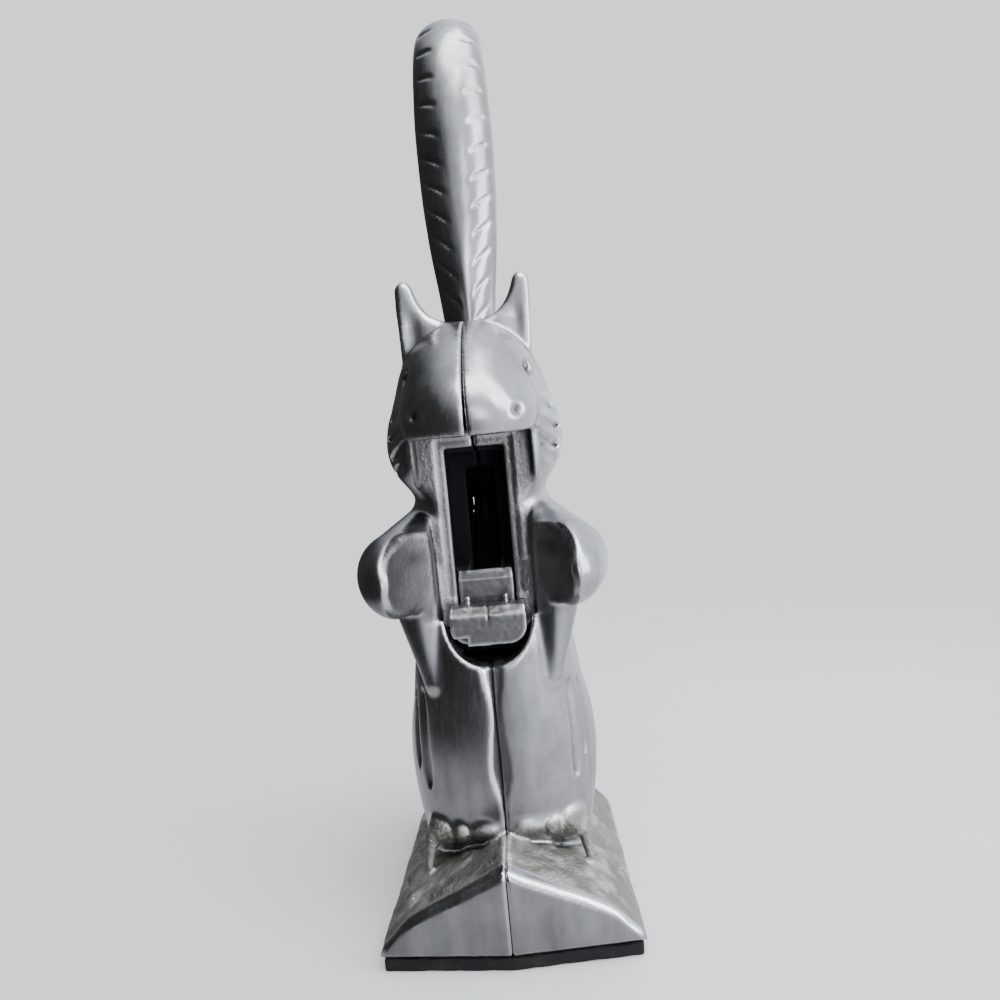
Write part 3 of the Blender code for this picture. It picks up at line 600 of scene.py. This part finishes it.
def casting(x, y, z, side):
    """One half, drawn on the +X side."""
    body = torso_and_limbs(x, y, z)
    body = smooth_min(body, head(x, y, z), 2.5)
    body = smooth_min(body, snout(x, y, z), 3.2)
    body = smooth_min(body, ear(x, y, z), 0.7)
    socket, ball, brow = eye(x, y, z)
    body = carve(body, socket, 0.8)
    body = carve(body, brow, 0.6)
    body = smooth_min(body, ball, 0.25)
    body = smooth_min(body, feet(x, y, z), 2.4)
    body = smooth_min(body, mound(x, y, z), 0.8)
    body = seam_edge(body, x, y, z)
    space = mouth(x, y, z)
    rim = 3.4 * ramp(x, 12.5, 15.0) * ramp(-y, 12.0, 17.0) - 2.0
    rim_cut = (body - space + rim) * math.sqrt(0.5)
    body = smooth_max(carve(body, space, 0.9), rim_cut, 0.4)
    body = carve(body, rail_step(x, y, z), 0.6)
    notch, way = jaw_way(x, y, z)
    body = carve(body, notch, 1.0)
    body = carve(body, way, 0.35)
    body = carve(body, lever_way(x, y, z), 0.5)
    body = carve(body, inner_bores(x, y, z), 0.3)
    return carve(body, screw_bores(x, y, z, side), 0.4)


def seam_edge(body, x, y, z):
    """Each half stops just short of the seam, with a hand-filed bevel at the front."""
    plane = curve(z, SEAM_GAP) * ramp(-y, -2.0, 4.0) - x
    bevel = np.where(y < 0, curve(z, SEAM_BEVEL), 0.15)
    cut = smooth_max(body, plane, 0.1)
    return smooth_max(cut, (body + plane + bevel) * math.sqrt(0.5), 0.4)


def as_cast(x, y, z):
    """Unpolished areas: the ground, and less so the mouth's inside."""
    ground = 1.0 - ramp(torso(x, y, z), 1.4, 0.4)
    ground = ground * ramp(25.5 - z, 0.0, 2.0) * ramp(y, MOUND_FRONT + 0.8, MOUND_FRONT + 2.2)
    inside = ramp(-np.abs(mouth(x, y, z)), -0.9, -0.3) * 0.3
    return np.maximum(ground, inside)


def shade_mask(x, y, z):
    """Painted shade in the insides of the jaw's way, the lever's slot and the paw cups, and in the eye and
    nose pits.
    """
    inside = np.minimum(jaw_way(x, y, z)[1], lever_way(x, y, z))
    shaded = ramp(-np.abs(inside), -0.6, -0.2) * ramp(y, RAIL_FRONT - 0.4, RAIL_FRONT + 1.2)
    below = ramp(-np.abs(jaw_way(x, y, z)[0]), -0.6, -0.2) * ramp(y, -11.5, -9.0) * ramp(-z, -66.0, -63.0)
    cup = ramp(-np.abs(mouth(x, y, z)), -0.9, -0.3) * ramp(np.abs(x), 11.0, 12.5)
    cup = cup * ramp(y, -24.0, -14.0) * (0.55 + 0.25 * noise(x, y, z, 3.0, 40))
    eye_pit = np.exp(-((y - EYE_Y) ** 2 + (z - EYE_Z) ** 2) / 1.5 ** 2) * ramp(x, 10.0, 11.0)
    nose_pit = np.exp(-((x - NOSTRIL_X) ** 2 + (z - NOSTRIL_Z) ** 2) / 0.7 ** 2)
    nose_pit = nose_pit * ramp(-y, 10.0, 14.0)
    return np.maximum(np.maximum(shaded, below), np.maximum(cup, 0.8 * np.maximum(eye_pit, nose_pit)))


def lever_shade(x, y, z):
    """Painted shade, 1 on the hub and arm, which turn inside the castings."""
    return ramp(y, 24.0, 20.0) * ramp(z, 106.0, 98.0)


SEAM_SHADE, ROOF_SHADE = 0.45, 0.1        # painted shade on the bevels that get no painted highlight


def seam_band(x, y, z):
    """1 on the filed bevel along the belly's seam."""
    wide = curve(z, SEAM_BEVEL)
    band = ramp(-x, -wide - 0.4, -wide) * ramp(-y, 2.0, 6.0)
    return band * ramp(z, 28.0, 31.0) * ramp(-z, -62.0, -60.0)


def base_front(x):
    """Y of the base's prowed front face."""
    return MOUND_FRONT - MOUND_PROW * (1.0 - x / MOUND_FRONT_HALF)


def roof_band(x, y, z):
    """1 on the bevel along the base's roof edge."""
    front = base_front(x)
    band = ramp(y, front + 0.15, front + 0.5) * ramp(-y, -front - 1.9, -front - 1.1)
    return band * ramp(z, 5.0, 7.0)


def front_face_shade(x, y, z):
    """Slight painted shade on the base's front face, deepest low down."""
    face = 1.0 - ramp(y, base_front(x) + 0.1, base_front(x) + 0.4)
    return face * (0.16 + 0.16 * ramp(-z, -18.0, -4.0))


def cast_half(name, side):
    """One casting: painted highlight on its seam bevel on the left half and on its roof bevel on the right
    half, painted shade on the other bevel.
    """
    def field(x, y, z):
        return casting(x, y, z, side)

    # Painted highlight: the seam bevel on the left half, the roof bevel on the right half.
    def bright(x, y, z):
        return seam_band(x, y, z) if side == LEFT else roof_band(x, y, z)

    # Painted shade: recesses, the base's front face, and the bevel without the painted highlight.
    def dark(x, y, z):
        darkening = np.maximum(shade_mask(x, y, z), front_face_shade(x, y, z))
        shaded = SEAM_SHADE * seam_band(x, y, z) if side == RIGHT else ROOF_SHADE * roof_band(x, y, z)
        return np.maximum(darkening, shaded)

    low = (0.0, HALF_LOW.y, HALF_LOW.z)
    high = (HALF_HIGH.x, HALF_HIGH.y, HALF_HIGH.z)
    return sculpt(name, field, low, high, BODY_STEP, as_cast, dark, bright, side)


# ---- the lever

TAIL = (                # y, z of the middle, half width, half depth
    (24.0, 84.0, 3.0, 7.0), (26.6, 97.0, 3.0, 6.2), (28.2, 109.0, 3.6, 6.0), (28.9, 124.0, 5.4, 6.0),
    (29.4, 141.0, 7.0, 6.4), (30.6, 155.0, 8.6, 6.8), (31.8, 168.0, 9.4, 7.0), (33.0, 181.0, 9.6, 7.0),
    (35.6, 192.5, 9.3, 6.7), (39.8, 201.5, 8.9, 6.3), (45.2, 206.6, 8.4, 5.9), (51.0, 208.0, 7.8, 5.5),
    (56.6, 206.0, 6.9, 4.9), (60.8, 201.0, 5.4, 4.1), (62.8, 194.5, 3.0, 2.8),
)
TAIL_SAMPLES = 240
TAIL_CHUNK = 20000          # points compared with the path at a time
LEVER_HALF = 3.0
HUB_R = 7.5
ARM_TIP_R = 3.6
CHEVRON_PITCH = 6.6


def tail_path():
    """Dense points along the tail: y, z, half width, half depth and length so far."""
    rows = np.array(TAIL)
    hops = np.hypot(*np.diff(rows[:, :2], axis=0).T)
    length = np.concatenate([[0.0], np.cumsum(hops)])
    places = np.linspace(0.0, length[-1], TAIL_SAMPLES)
    columns = [curve(places, np.stack([length, rows[:, i]], 1)) for i in range(4)]
    return np.stack([*columns, places], 1)


PATH = tail_path()


def nearest_on_path(spots):
    """Index of the tail path's point nearest to each spot."""
    nearest = np.empty(len(spots), np.int64)
    for start in range(0, len(spots), TAIL_CHUNK):
        chunk = spots[start:start + TAIL_CHUNK]
        away = ((chunk[:, None, :] - PATH[None, :, :2]) ** 2).sum(2)
        nearest[start:start + TAIL_CHUNK] = np.argmin(away, 1)
    return nearest


def tail(x, y, z):
    """Elliptical sections along the path, with grooves and a soft ridge."""
    y, z = np.broadcast_arrays(y, z)
    shape = y.shape
    spots = np.stack([y.ravel(), z.ravel()], 1)
    nearest = nearest_on_path(spots)
    along = np.gradient(PATH[:, :2], axis=0)
    along /= np.linalg.norm(along, axis=1)[:, None]
    base, aim = PATH[nearest], along[nearest]
    offset = spots - base[:, :2]
    slide = (offset * aim).sum(1)
    across = (offset[:, 0] * aim[:, 1] - offset[:, 1] * aim[:, 0]).reshape(shape)
    spot = (base[:, 4] + slide).reshape(shape)
    rest = PATH[-1, 4]
    half = np.interp(spot, PATH[:, 4], PATH[:, 2])
    deep = np.interp(spot, PATH[:, 4], PATH[:, 3])
    beyond = np.maximum(spot - rest, 0.0) + np.maximum(-spot, 0.0)
    section = ellipse(x, np.hypot(across, beyond), half, deep)
    front = ramp(-across / deep, 0.05, 0.35) + ramp(across / deep, 0.05, 0.35)
    return section + front * chevrons(x, spot, half) + ridge(x, spot, across, half)


def chevrons(x, spot, half):
    """Two columns of short grooves: level near the top, steep V shapes lower down."""
    steep = curve(spot, ((30, 1.5), (55, 1.3), (80, 0.75), (105, 0.3), (125, 0.12), (160, 0.05)))
    column = half * curve(spot, ((30, 0.42), (55, 0.5), (80, 0.58), (105, 0.62), (160, 0.6)))
    long = half * curve(spot, ((30, 0.26), (80, 0.24), (120, 0.20), (160, 0.2)))
    phase = np.where(x > 0, 0.0, 0.35 * CHEVRON_PITCH)
    drawn = spot - steep * (np.abs(x) - column) + phase
    wander = np.round(drawn / CHEVRON_PITCH)
    away = (drawn - wander * CHEVRON_PITCH) / np.sqrt(1 + steep * steep)
    reach = np.exp(-((np.abs(x) - column) / long) ** 4)
    window = ramp(spot, 34.0, 40.0) * (1.0 - ramp(spot, 148.0, 156.0))
    return 0.42 * np.exp(-(away / 0.55) ** 2) * reach * window


def ridge(x, spot, across, half):
    """The lower part has flat facets that meet in a soft ridge up the middle."""
    lower = 1.0 - ramp(spot, 48.0, 78.0)
    start = ramp(spot, 16.0, 26.0)
    return lower * start * 0.16 * np.minimum(np.abs(x), half * 0.8) * ramp(np.abs(across), 1.0, 3.0)


def arm_outline():
    """Round tip, straight edges and round hub in side view."""
    turned = math.atan2(PIVOT[1] - DRIVE_PIN[1], PIVOT[0] - DRIVE_PIN[0])
    points = []
    for centre, radius, first, last in ((DRIVE_PIN, ARM_TIP_R, 90, 270), (PIVOT, HUB_R, -78, 78)):
        for degrees in np.linspace(first, last, 15):
            angle = math.radians(degrees) + turned
            points.append((centre[0] + radius * math.cos(angle), centre[1] + radius * math.sin(angle)))
    return points


def lever(x, y, z):
    """Tail, hub and arm in one casting."""
    plate = smooth_max(outline_distance(y, z, arm_outline()), np.abs(x) - LEVER_HALF, 0.6)
    body = smooth_min(plate, tail(x, y, z), 0.6)
    body = carve(body, rod(x, y, z, PIVOT, PIVOT_BORE_R, -12, 12), 0.4)
    return carve(body, rod(x, y, z, DRIVE_PIN, PIN_BORE_R, -12, 12), 0.4)


# ---- the jaw

SEAT_Z = 71.5
FLANGE_BOTTOM = 63.0
FLANGE_CORNER = 4.0
WEB_HALF = 6.2
FORK_HALF = 3.4
NUT_PIN_R = 0.45
BLOCK_TOP = 78.5
JAW_SLOT_R = 2.5
JAW_SLOT_FRONT = PIVOT[0] - math.hypot(DRIVE_PIN[0] - PIVOT[0], DRIVE_PIN[1] - PIVOT[1])
WEB_OUTLINE = [(-9, 64), (-5, 60), (7.4, 60), (7.4, BLOCK_TOP), (-5.0, BLOCK_TOP), (-6.6, 76.6),
               (-6.6, 70.5), (-9, 70.5)]


def flange(x, y, z):
    """Plate ahead of the rails: round lower corners, sloped top, score mark and a step."""
    middle = (SEAT_Z + FLANGE_BOTTOM) / 2
    tall = (SEAT_Z - FLANGE_BOTTOM) / 2
    corner = np.where(z < middle, FLANGE_CORNER, 0.6)
    u, v = np.abs(x) - JAW_HIGH.x + corner, np.abs(z - middle) - tall + corner
    plate = np.hypot(np.maximum(u, 0), np.maximum(v, 0)) + np.minimum(np.maximum(u, v), 0) - corner
    plate = smooth_max(plate, np.maximum(JAW_LOW.y - y, y - (RAIL_FRONT - GAP)), 0.3)
    bevel = ((JAW_LOW.y - y) * 1.0 + (z - SEAT_Z) * 1.1 + 2.1) / 1.5
    plate = smooth_max(plate, bevel, 0.25)
    score = np.exp(-(x / 0.22) ** 2) * ramp(z, 68.6, 69.2)
    plate = plate + 0.3 * score
    step = box(x, y, z, (-9.0, -14.0, 62.0), (-4.9, -10.9, 64.9), 0.2)
    return carve(plate, step, 0.25)


def drive_slot(y, z):
    """Level slot that the drive pin runs in."""
    middle = (DRIVE_PIN[0] + JAW_SLOT_FRONT) / 2
    half = abs(DRIVE_PIN[0] - JAW_SLOT_FRONT) / 2
    return np.hypot(np.maximum(np.abs(y - middle) - half, 0.0), z - DRIVE_PIN[1]) - JAW_SLOT_R


def jaw(x, y, z):
    """Flange ahead of the rails, web between them, ears behind, and an upright block."""
    half = JAW_HIGH.x
    web = smooth_max(outline_distance(y, z, WEB_OUTLINE), np.abs(x) - WEB_HALF, 0.4)
    ears = box(x, y, z, (-half, RAIL_BACK + GAP, 60.0), (half, JAW_HIGH.y, BLOCK_TOP), 0.3)
    solid = np.minimum(np.minimum(flange(x, y, z), web), ears)
    fork = box(x, y, z, (-FORK_HALF, -4.3, 50.0), (FORK_HALF, 20.0, 90.0))
    solid = carve(solid, fork, 0.3)
    solid = carve(solid, drive_slot(y, z), 0.3)
    for pin_x in (place_of("nut_pin_right").x, place_of("nut_pin_left").x):
        hole = np.hypot(x - pin_x, y - place_of("nut_pin_right").y) - NUT_PIN_R - 0.15
        solid = carve(solid, np.maximum(hole, 68.2 - z), 0.15)
    dents = 0.05 * noise(x, y, z, 1.3, 8) * ramp(z, 67.5, 69.5) * ramp(75.0 - z, 0.0, 3.0)
    return solid + dents + 0.03 * noise(x, y, z, 0.8, 9)


def nut_pin(node):
    """Small upright pin with two rounded beads at its top."""
    centre = place_of(node)
    low, high = span_of(node)

    def field(x, y, z):
        away = np.hypot(x - centre.x, y - centre.y)
        ends = np.abs(z - (low.z + high.z) / 2) - (high.z - low.z) / 2
        shank = smooth_max(away - NUT_PIN_R, ends, 0.3)
        for height, radius in ((SEAT_Z + 1.55, 0.72), (SEAT_Z + 0.65, 0.66)):
            bead = np.sqrt((x - centre.x) ** 2 + (y - centre.y) ** 2 + (z - height) ** 2) - radius
            shank = smooth_min(shank, bead, 0.15)
        return shank

    beads = Vector((0.4, 0.4, 0.0))
    return sculpt(node + "_bead", field, low - beads, high + beads + Vector((0, 0, 0.3)), BEAD_STEP)


# ---- pins and screws

DRIVER_SLOT_HALF, DRIVER_SLOT_DEEP = 0.45, 0.95
HEAD_R, PLUGGED_HEAD_R = 3.4, 2.6
PLUGGED_SINK = 0.8
THREAD_R, THREAD_ROOT_R = 1.9, 1.55
THREAD_PITCH = 0.9
PINS = (                # node, radius, body that it rides on
    ("lever_pivot_pin", 2.5, "body"),
    ("lever_stop_pin", 2.0, "body"),
    ("jaw_drive_pin", 2.0, "lever"),
    ("head_dowel", 1.5, "body"),
    ("base_dowel", 1.5, "body"),
)


def turned(name, node, profile, slot=False):
    """A turned piece along X: profile is (x, radius) pairs in millimetres."""
    centre = place_of(node)
    spots = [(x, 0.0) for x, r in profile[:1]] + list(profile) + [(x, 0.0) for x, r in profile[-1:]]

    def field(x, y, z):
        radius = np.hypot(y - centre.y, z - centre.z)
        shape = outline_distance(x, radius, spots + [(spots[-1][0], -2.0), (spots[0][0], -2.0)])
        if slot:
            floor = spots[0][0] + DRIVER_SLOT_DEEP
            groove = np.maximum(np.abs(z - centre.z) - DRIVER_SLOT_HALF, x - floor)
            shape = carve(shape, groove, 0.15)
        return shape

    low, high = span_of(node)
    return sculpt(name, field, low, high, PIN_STEP, crisp=40)


def pin(node, radius):
    """Plain pin with chamfered ends."""
    low, high = span_of(node)
    lead = radius / 4
    return turned(node + "_turned", node, ((low.x, radius - lead), (low.x + lead, radius),
                                           (high.x - lead, radius), (high.x, radius - lead)))


def screw(node):
    """Domed slotted head in its counterbore and a threaded shank across the seam."""
    low, high = span_of(node)
    seat = low.x + SCREW_HEAD_THICK
    top = low.x + (PLUGGED_SINK if node in PLUGGED else 0.0)
    rim = PLUGGED_HEAD_R if node in PLUGGED else HEAD_R
    profile = [(top, rim - 1.8), (top + 0.25, rim - 1.0), (top + 0.7, rim - 0.4), (top + 1.2, rim),
               (seat, rim)]
    x = seat
    while x + THREAD_PITCH < high.x - 0.5:
        profile += [(x, THREAD_R), (x + THREAD_PITCH / 2, THREAD_ROOT_R)]
        x += THREAD_PITCH
    profile += [(high.x - 0.5, 1.7), (high.x, 1.2)]
    return turned(node + "_turned", node, profile, slot=True)


# ---- materials

def material(name):
    """A new material and its shader node."""
    mat = bpy.data.materials.new(name)
    mat.use_nodes = True
    mat.node_tree.nodes.clear()
    out = mat.node_tree.nodes.new("ShaderNodeOutputMaterial")
    shader = mat.node_tree.nodes.new("ShaderNodeBsdfPrincipled")
    mat.node_tree.links.new(shader.outputs[0], out.inputs[0])
    return mat, shader


class Nodes:
    """Short names for the few node types that the materials use."""

    def __init__(self, mat):
        self.tree = mat.node_tree

    def add(self, kind, **inputs):
        node = self.tree.nodes.new(kind)
        for key, value in inputs.items():
            self.put(node.inputs[key.replace("_", " ")], value)
        return node

    def put(self, socket, value):
        if isinstance(value, bpy.types.NodeSocket):
            self.tree.links.new(value, socket)
        else:
            socket.default_value = value

    def place(self, scale=(1, 1, 1)):
        """Object coordinates in metres, stretched by scale."""
        where = self.add("ShaderNodeTexCoord").outputs["Object"]
        return self.add("ShaderNodeMapping", Vector=where, Scale=scale).outputs[0]

    def cloud(self, vector, scale, detail=4.0, rough=0.55):
        return self.add("ShaderNodeTexNoise", Vector=vector, Scale=scale, Detail=detail,
                        Roughness=rough).outputs[0]

    def layer(self, name):
        node = self.tree.nodes.new("ShaderNodeAttribute")
        node.attribute_name = name
        return node.outputs["Fac"]

    def math(self, kind, a, b=0.0, clamp=False):
        node = self.tree.nodes.new("ShaderNodeMath")
        node.operation = kind
        node.use_clamp = clamp
        self.put(node.inputs[0], a)
        self.put(node.inputs[1], b)
        return node.outputs[0]

    def times(self, a, b):
        return self.math("MULTIPLY", a, b)

    def plus(self, a, b):
        """The sum, held between 0 and 1."""
        return self.math("ADD", a, b, clamp=True)

    def remap(self, value, low, high, to_low=0.0, to_high=1.0):
        return self.add("ShaderNodeMapRange", Value=value, From_Min=low, From_Max=high, To_Min=to_low,
                        To_Max=to_high).outputs[0]

    def mix(self, share, a, b):
        node = self.tree.nodes.new("ShaderNodeMix")
        node.data_type = "RGBA"
        self.put(node.inputs[0], share)
        self.put(node.inputs[6], a)
        self.put(node.inputs[7], b)
        return node.outputs[2]

    def bump(self, height, strength, distance, normal=None):
        node = self.add("ShaderNodeBump", Height=height, Strength=strength, Distance=distance)
        if normal is not None:
            self.put(node.inputs["Normal"], normal)
        return node.outputs[0]


EARTH_DARK, EARTH_PALE = (0.100, 0.092, 0.080, 1.0), (0.25, 0.235, 0.21, 1.0)
# Pale colour of worn edges, also used for the painted highlight on one bevel of each half.
WORN_AND_HIGHLIGHT = (0.66, 0.67, 0.69, 1.0)
# Near-black colour of the painted shade.
SHADE_BLACK = (0.018, 0.019, 0.022, 1.0)


def metal_colour(n, clean, dark, cloud, bands, layers):
    """Cloudy film on clean metal, darkened by painted shade in hollows; earthy rough areas; worn edges and
    a painted highlight; black painted shade.
    """
    hollow_shade, edge, rough, painted_shade = layers
    darkening = n.remap(n.times(n.math("ADD", cloud, bands), 0.5), 0.38, 0.64, 0.0, 0.75)
    # Painted shade: hollows darken the film.
    darkening = n.plus(darkening, n.times(hollow_shade, 0.75))
    colour = n.mix(darkening, (*clean, 1.0), (*dark, 1.0))
    earth = n.mix(n.remap(cloud, 0.3, 0.7), EARTH_DARK, EARTH_PALE)
    colour = n.mix(n.times(rough, 0.9), colour, earth)
    # Worn edges and the painted bevel highlight go pale.
    colour = n.mix(n.times(edge, 0.75), colour, WORN_AND_HIGHLIGHT)
    # Painted shade goes near-black.
    return n.mix(painted_shade, colour, SHADE_BLACK)


def metal_sheen(n, gloss, dull, bands, brushed, layers):
    """Roughness: streaky, higher where rough or where shade is painted, and lower on worn edges."""
    _, edge, rough, painted_shade = layers
    sheen = n.remap(n.math("ADD", bands, n.times(brushed, 0.4)), 0.5, 0.9, gloss, dull)
    sheen = n.plus(sheen, n.times(rough, 0.22))
    sheen = n.plus(sheen, n.times(painted_shade, 0.35))
    return n.math("SUBTRACT", sheen, n.times(edge, 0.06), clamp=True)


def metal_relief(n, scratch, where, bands, brushed, rough):
    """Bumps: brushing, long bands and fine dents, with grains and pits on rough areas."""
    pits = n.times(n.remap(n.cloud(where, 900.0, 2.0, 0.5), 0.66, 0.74), rough)
    coarse = n.times(n.cloud(where, 1100.0, 4.0, 0.65), rough)
    normal = n.bump(brushed, scratch, 0.00003)
    normal = n.bump(bands, 0.35, 0.00035, normal)
    normal = n.bump(n.cloud(where, 420.0, 3.0, 0.6), 0.12, 0.00008, normal)
    normal = n.bump(coarse, 1.0, 0.0006, normal)
    return n.bump(n.math("SUBTRACT", 1.0, pits), 0.5, 0.00012, normal)


def metal(name, clean, dark, gloss, dull, grain, scratch):
    """Metal brushed along grain, with clean and dark colours and a roughness range."""
    mat, shader = material(name)
    n = Nodes(mat)
    where = n.place()
    cloud = n.cloud(where, 90.0, 5.0, 0.6)
    brushed = n.cloud(n.place(grain), 800.0, 3.0, 0.7)
    bands = n.cloud(n.place(grain), 150.0, 3.0, 0.6)
    layers = [n.layer(key) for key in ("hollow_shade", "edge", "rough", "painted_shade")]
    n.put(shader.inputs["Base Color"], metal_colour(n, clean, dark, cloud, bands, layers))
    shader.inputs["Metallic"].default_value = 1.0
    n.put(shader.inputs["Roughness"], metal_sheen(n, gloss, dull, bands, brushed, layers))
    n.put(shader.inputs["Normal"], metal_relief(n, scratch, where, bands, brushed, layers[2]))
    return mat


def rubber():
    """Black and matt, with a little dust."""
    mat, shader = material("black_pad")
    n = Nodes(mat)
    where = n.place()
    dust = n.cloud(where, 140.0, 6.0, 0.65)
    clean, dusty = (0.006, 0.006, 0.007, 1.0), (0.022, 0.021, 0.020, 1.0)
    colour = n.mix(n.remap(dust, 0.45, 0.75), clean, dusty)
    n.put(shader.inputs["Base Color"], colour)
    n.put(shader.inputs["Roughness"], n.remap(dust, 0.3, 0.7, 0.58, 0.85))
    shader.inputs["Specular IOR Level"].default_value = 0.2
    n.put(shader.inputs["Normal"], n.bump(n.cloud(where, 1600.0, 3.0, 0.6), 0.6, 0.00015))
    return mat


# ---- pad

PAD_TAPER = 2.4


def pad():
    """Black pad with a slightly rounded edge, trimmed to the base's outline."""
    front_half, rear_half = PAD_HIGH.x, PAD_HIGH.x - PAD_TAPER
    back, front = PAD_HIGH.y, PAD_LOW.y + MOUND_PROW

    def field(x, y, z):
        share = np.clip((y - front) / (back - front), 0.0, 1.0)
        side = np.abs(x) - (front_half + (rear_half - front_half) * share)
        nose = front - MOUND_PROW * (1.0 - np.clip(np.abs(x) / front_half, 0.0, 1.0)) - y
        wall = smooth_max(smooth_max(side, y - back, 4.0), nose, 0.6)
        wavy = wall + 0.12 * noise(x, y, z, 5.0, 21)
        faces = np.abs(z - (PAD_LOW.z + PAD_HIGH.z) / 2) - (PAD_HIGH.z - PAD_LOW.z) / 2
        return smooth_max(wavy, faces, 0.5)

    return sculpt("base_pad_soft", field, PAD_LOW, PAD_HIGH, BODY_STEP, crisp=50)


# ---- stage

CAMERA_AT = (12.2, -202.5, 121.4)       # millimetres
CAMERA_YAW = 2.17                       # degrees
CAMERA_PITCH = 7.98
CAMERA_ROLL = 5.21
CAMERA_LENS = 32.45
FLOOR_RADIUS = 6.0                      # metres
FADE_MIDDLE = (0.06, 0.05, 0.0)
FADE_START, FADE_END = 0.07, 0.23
ROOM_DIM, ROOM_BRIGHT = (0.065, 0.063, 0.063, 1.0), (2.1, 2.22, 2.4, 1.0)
ROOM_SEEN = (1.3, 1.3, 1.31, 1.0)


def camera():
    """Camera in front of the squirrel, slightly above it, looking down and rolled."""
    yaw, pitch, roll = (math.radians(a) for a in (CAMERA_YAW, CAMERA_PITCH, CAMERA_ROLL))
    ahead = Vector((-math.sin(yaw) * math.cos(pitch), math.cos(yaw) * math.cos(pitch), -math.sin(pitch)))
    level = Vector((math.cos(yaw), math.sin(yaw), 0.0))
    upright = level.cross(ahead)
    right = level * math.cos(roll) - upright * math.sin(roll)
    up = level * math.sin(roll) + upright * math.cos(roll)
    turn = Matrix((right, up, -ahead)).transposed().to_4x4()
    data = bpy.data.cameras.new("camera")
    data.sensor_width = 36.0
    data.lens = CAMERA_LENS
    data.clip_start, data.clip_end = 0.01, 20.0
    obj = bpy.data.objects.new("camera", data)
    obj.matrix_world = Matrix.Translation(Vector(CAMERA_AT) * MM) @ turn
    bpy.context.scene.collection.objects.link(obj)
    bpy.context.scene.camera = obj


def panel(name, where, aim, size, power, colour=(1, 1, 1)):
    """A rectangular soft light."""
    data = bpy.data.lights.new(name, "AREA")
    data.shape = "RECTANGLE"
    data.size, data.size_y = size
    data.energy = power
    data.color = colour
    obj = bpy.data.objects.new(name, data)
    obj.location = where
    obj.rotation_euler = (Vector(aim) - Vector(where)).to_track_quat("-Z", "Y").to_euler()
    bpy.context.scene.collection.objects.link(obj)


def stage():
    """A pale floor that fades out into the pale room."""
    bm = bmesh.new()
    bmesh.ops.create_circle(bm, cap_ends=True, segments=96, radius=FLOOR_RADIUS)
    mesh = bpy.data.meshes.new("floor")
    bm.to_mesh(mesh)
    bm.free()
    floor = bpy.data.objects.new("floor", mesh)
    bpy.context.scene.collection.objects.link(floor)
    mat, shader = material("floor")
    n = Nodes(mat)
    tone = n.remap(n.cloud(n.place(), 6.0, 3.0), 0.3, 0.7)
    n.put(shader.inputs["Base Color"], n.mix(tone, (0.50, 0.50, 0.50, 1), (0.54, 0.54, 0.54, 1)))
    shader.inputs["Roughness"].default_value = 0.8
    away = n.add("ShaderNodeVectorMath", Vector=n.place())
    away.operation = "DISTANCE"
    away.inputs[1].default_value = FADE_MIDDLE
    fade = n.remap(away.outputs["Value"], FADE_START, FADE_END, 1.0, 0.0)
    n.put(shader.inputs["Alpha"], fade)
    mesh.materials.append(mat)


def room():
    """Pale to look at, and as a light source dim at -X and bright at +X and overhead."""
    world = bpy.data.worlds.new("studio")
    world.use_nodes = True
    bpy.context.scene.world = world
    n = Nodes(world)
    back = world.node_tree.nodes["Background"]
    toward = n.add("ShaderNodeTexCoord").outputs["Generated"]
    split = n.add("ShaderNodeSeparateXYZ", Vector=toward)
    tall = n.times(n.math("MAXIMUM", split.outputs[2], 0.0), 0.6)
    side = n.remap(n.math("ADD", split.outputs[0], tall), -0.20, 0.55)
    lit = n.mix(side, ROOM_DIM, ROOM_BRIGHT)
    seen = n.add("ShaderNodeLightPath").outputs["Is Camera Ray"]
    n.put(back.inputs["Color"], n.mix(seen, lit, ROOM_SEEN))
    back.inputs["Strength"].default_value = 1.0


def lights():
    """Soft panels at +X, overhead and in front."""
    middle = (0.0, 0.0, 0.1)
    panel("window", (0.75, -0.30, 0.45), middle, (0.5, 1.0), 11.0, (0.92, 0.96, 1.0))
    panel("overhead", (0.20, -0.15, 1.0), middle, (0.8, 0.6), 12.0, (1.0, 0.99, 0.97))
    panel("front_fill", (0.30, -0.95, 0.30), middle, (0.2, 0.5), 2.0, (0.97, 0.98, 1.0))


# ---- assembly

def finish_piece(obj, body, nodes, mat):
    """Give a piece its material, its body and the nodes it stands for."""
    obj.data.materials.append(mat)
    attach(obj, body)
    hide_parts(*nodes)


def castings():
    """Both body halves and the lever."""
    cast = metal("cast_aluminium", (0.33, 0.335, 0.35), (0.13, 0.128, 0.126), 0.18, 0.36, (1, 1, 0.12), 0.4)
    for side, node in ((RIGHT, "body_half_right"), (LEFT, "body_half_left")):
        finish_piece(cast_half(node + "_casting", side), "body", [node], cast)
    low, high = span_of("tail_lever")
    hand_lever = sculpt("tail_lever_casting", lever, low, high, TAIL_STEP, None, lever_shade)
    finish_piece(hand_lever, "lever", ["tail_lever"], cast)


def jaw_and_washers():
    machined = metal("jaw_metal", (0.20, 0.20, 0.203), (0.09, 0.09, 0.09), 0.34, 0.50, (0.1, 1, 1), 0.6)
    block = sculpt("crusher_jaw_machined", jaw, JAW_LOW, JAW_HIGH, FINE_STEP)
    finish_piece(block, "jaw", ["crusher_jaw"], machined)
    for node in ("pivot_washer_right", "pivot_washer_left"):
        for held in frame["nodes"][node].material_slots:
            held.material = machined


def pins_and_screws():
    steel = metal("bright_steel", (0.52, 0.52, 0.53), (0.30, 0.30, 0.30), 0.16, 0.30, (1, 0.2, 1), 0.3)
    for node in ("nut_pin_right", "nut_pin_left"):
        finish_piece(nut_pin(node), "jaw", [node], steel)
    for node in SCREW_NODES:
        finish_piece(screw(node), "body", [node], steel)
    for node, radius, body in PINS:
        finish_piece(pin(node, radius), body, [node], steel)


def main():
    camera()
    stage()
    room()
    lights()
    castings()
    jaw_and_washers()
    pins_and_screws()
    finish_piece(pad(), "body", ["base_pad"], rubber())


main()
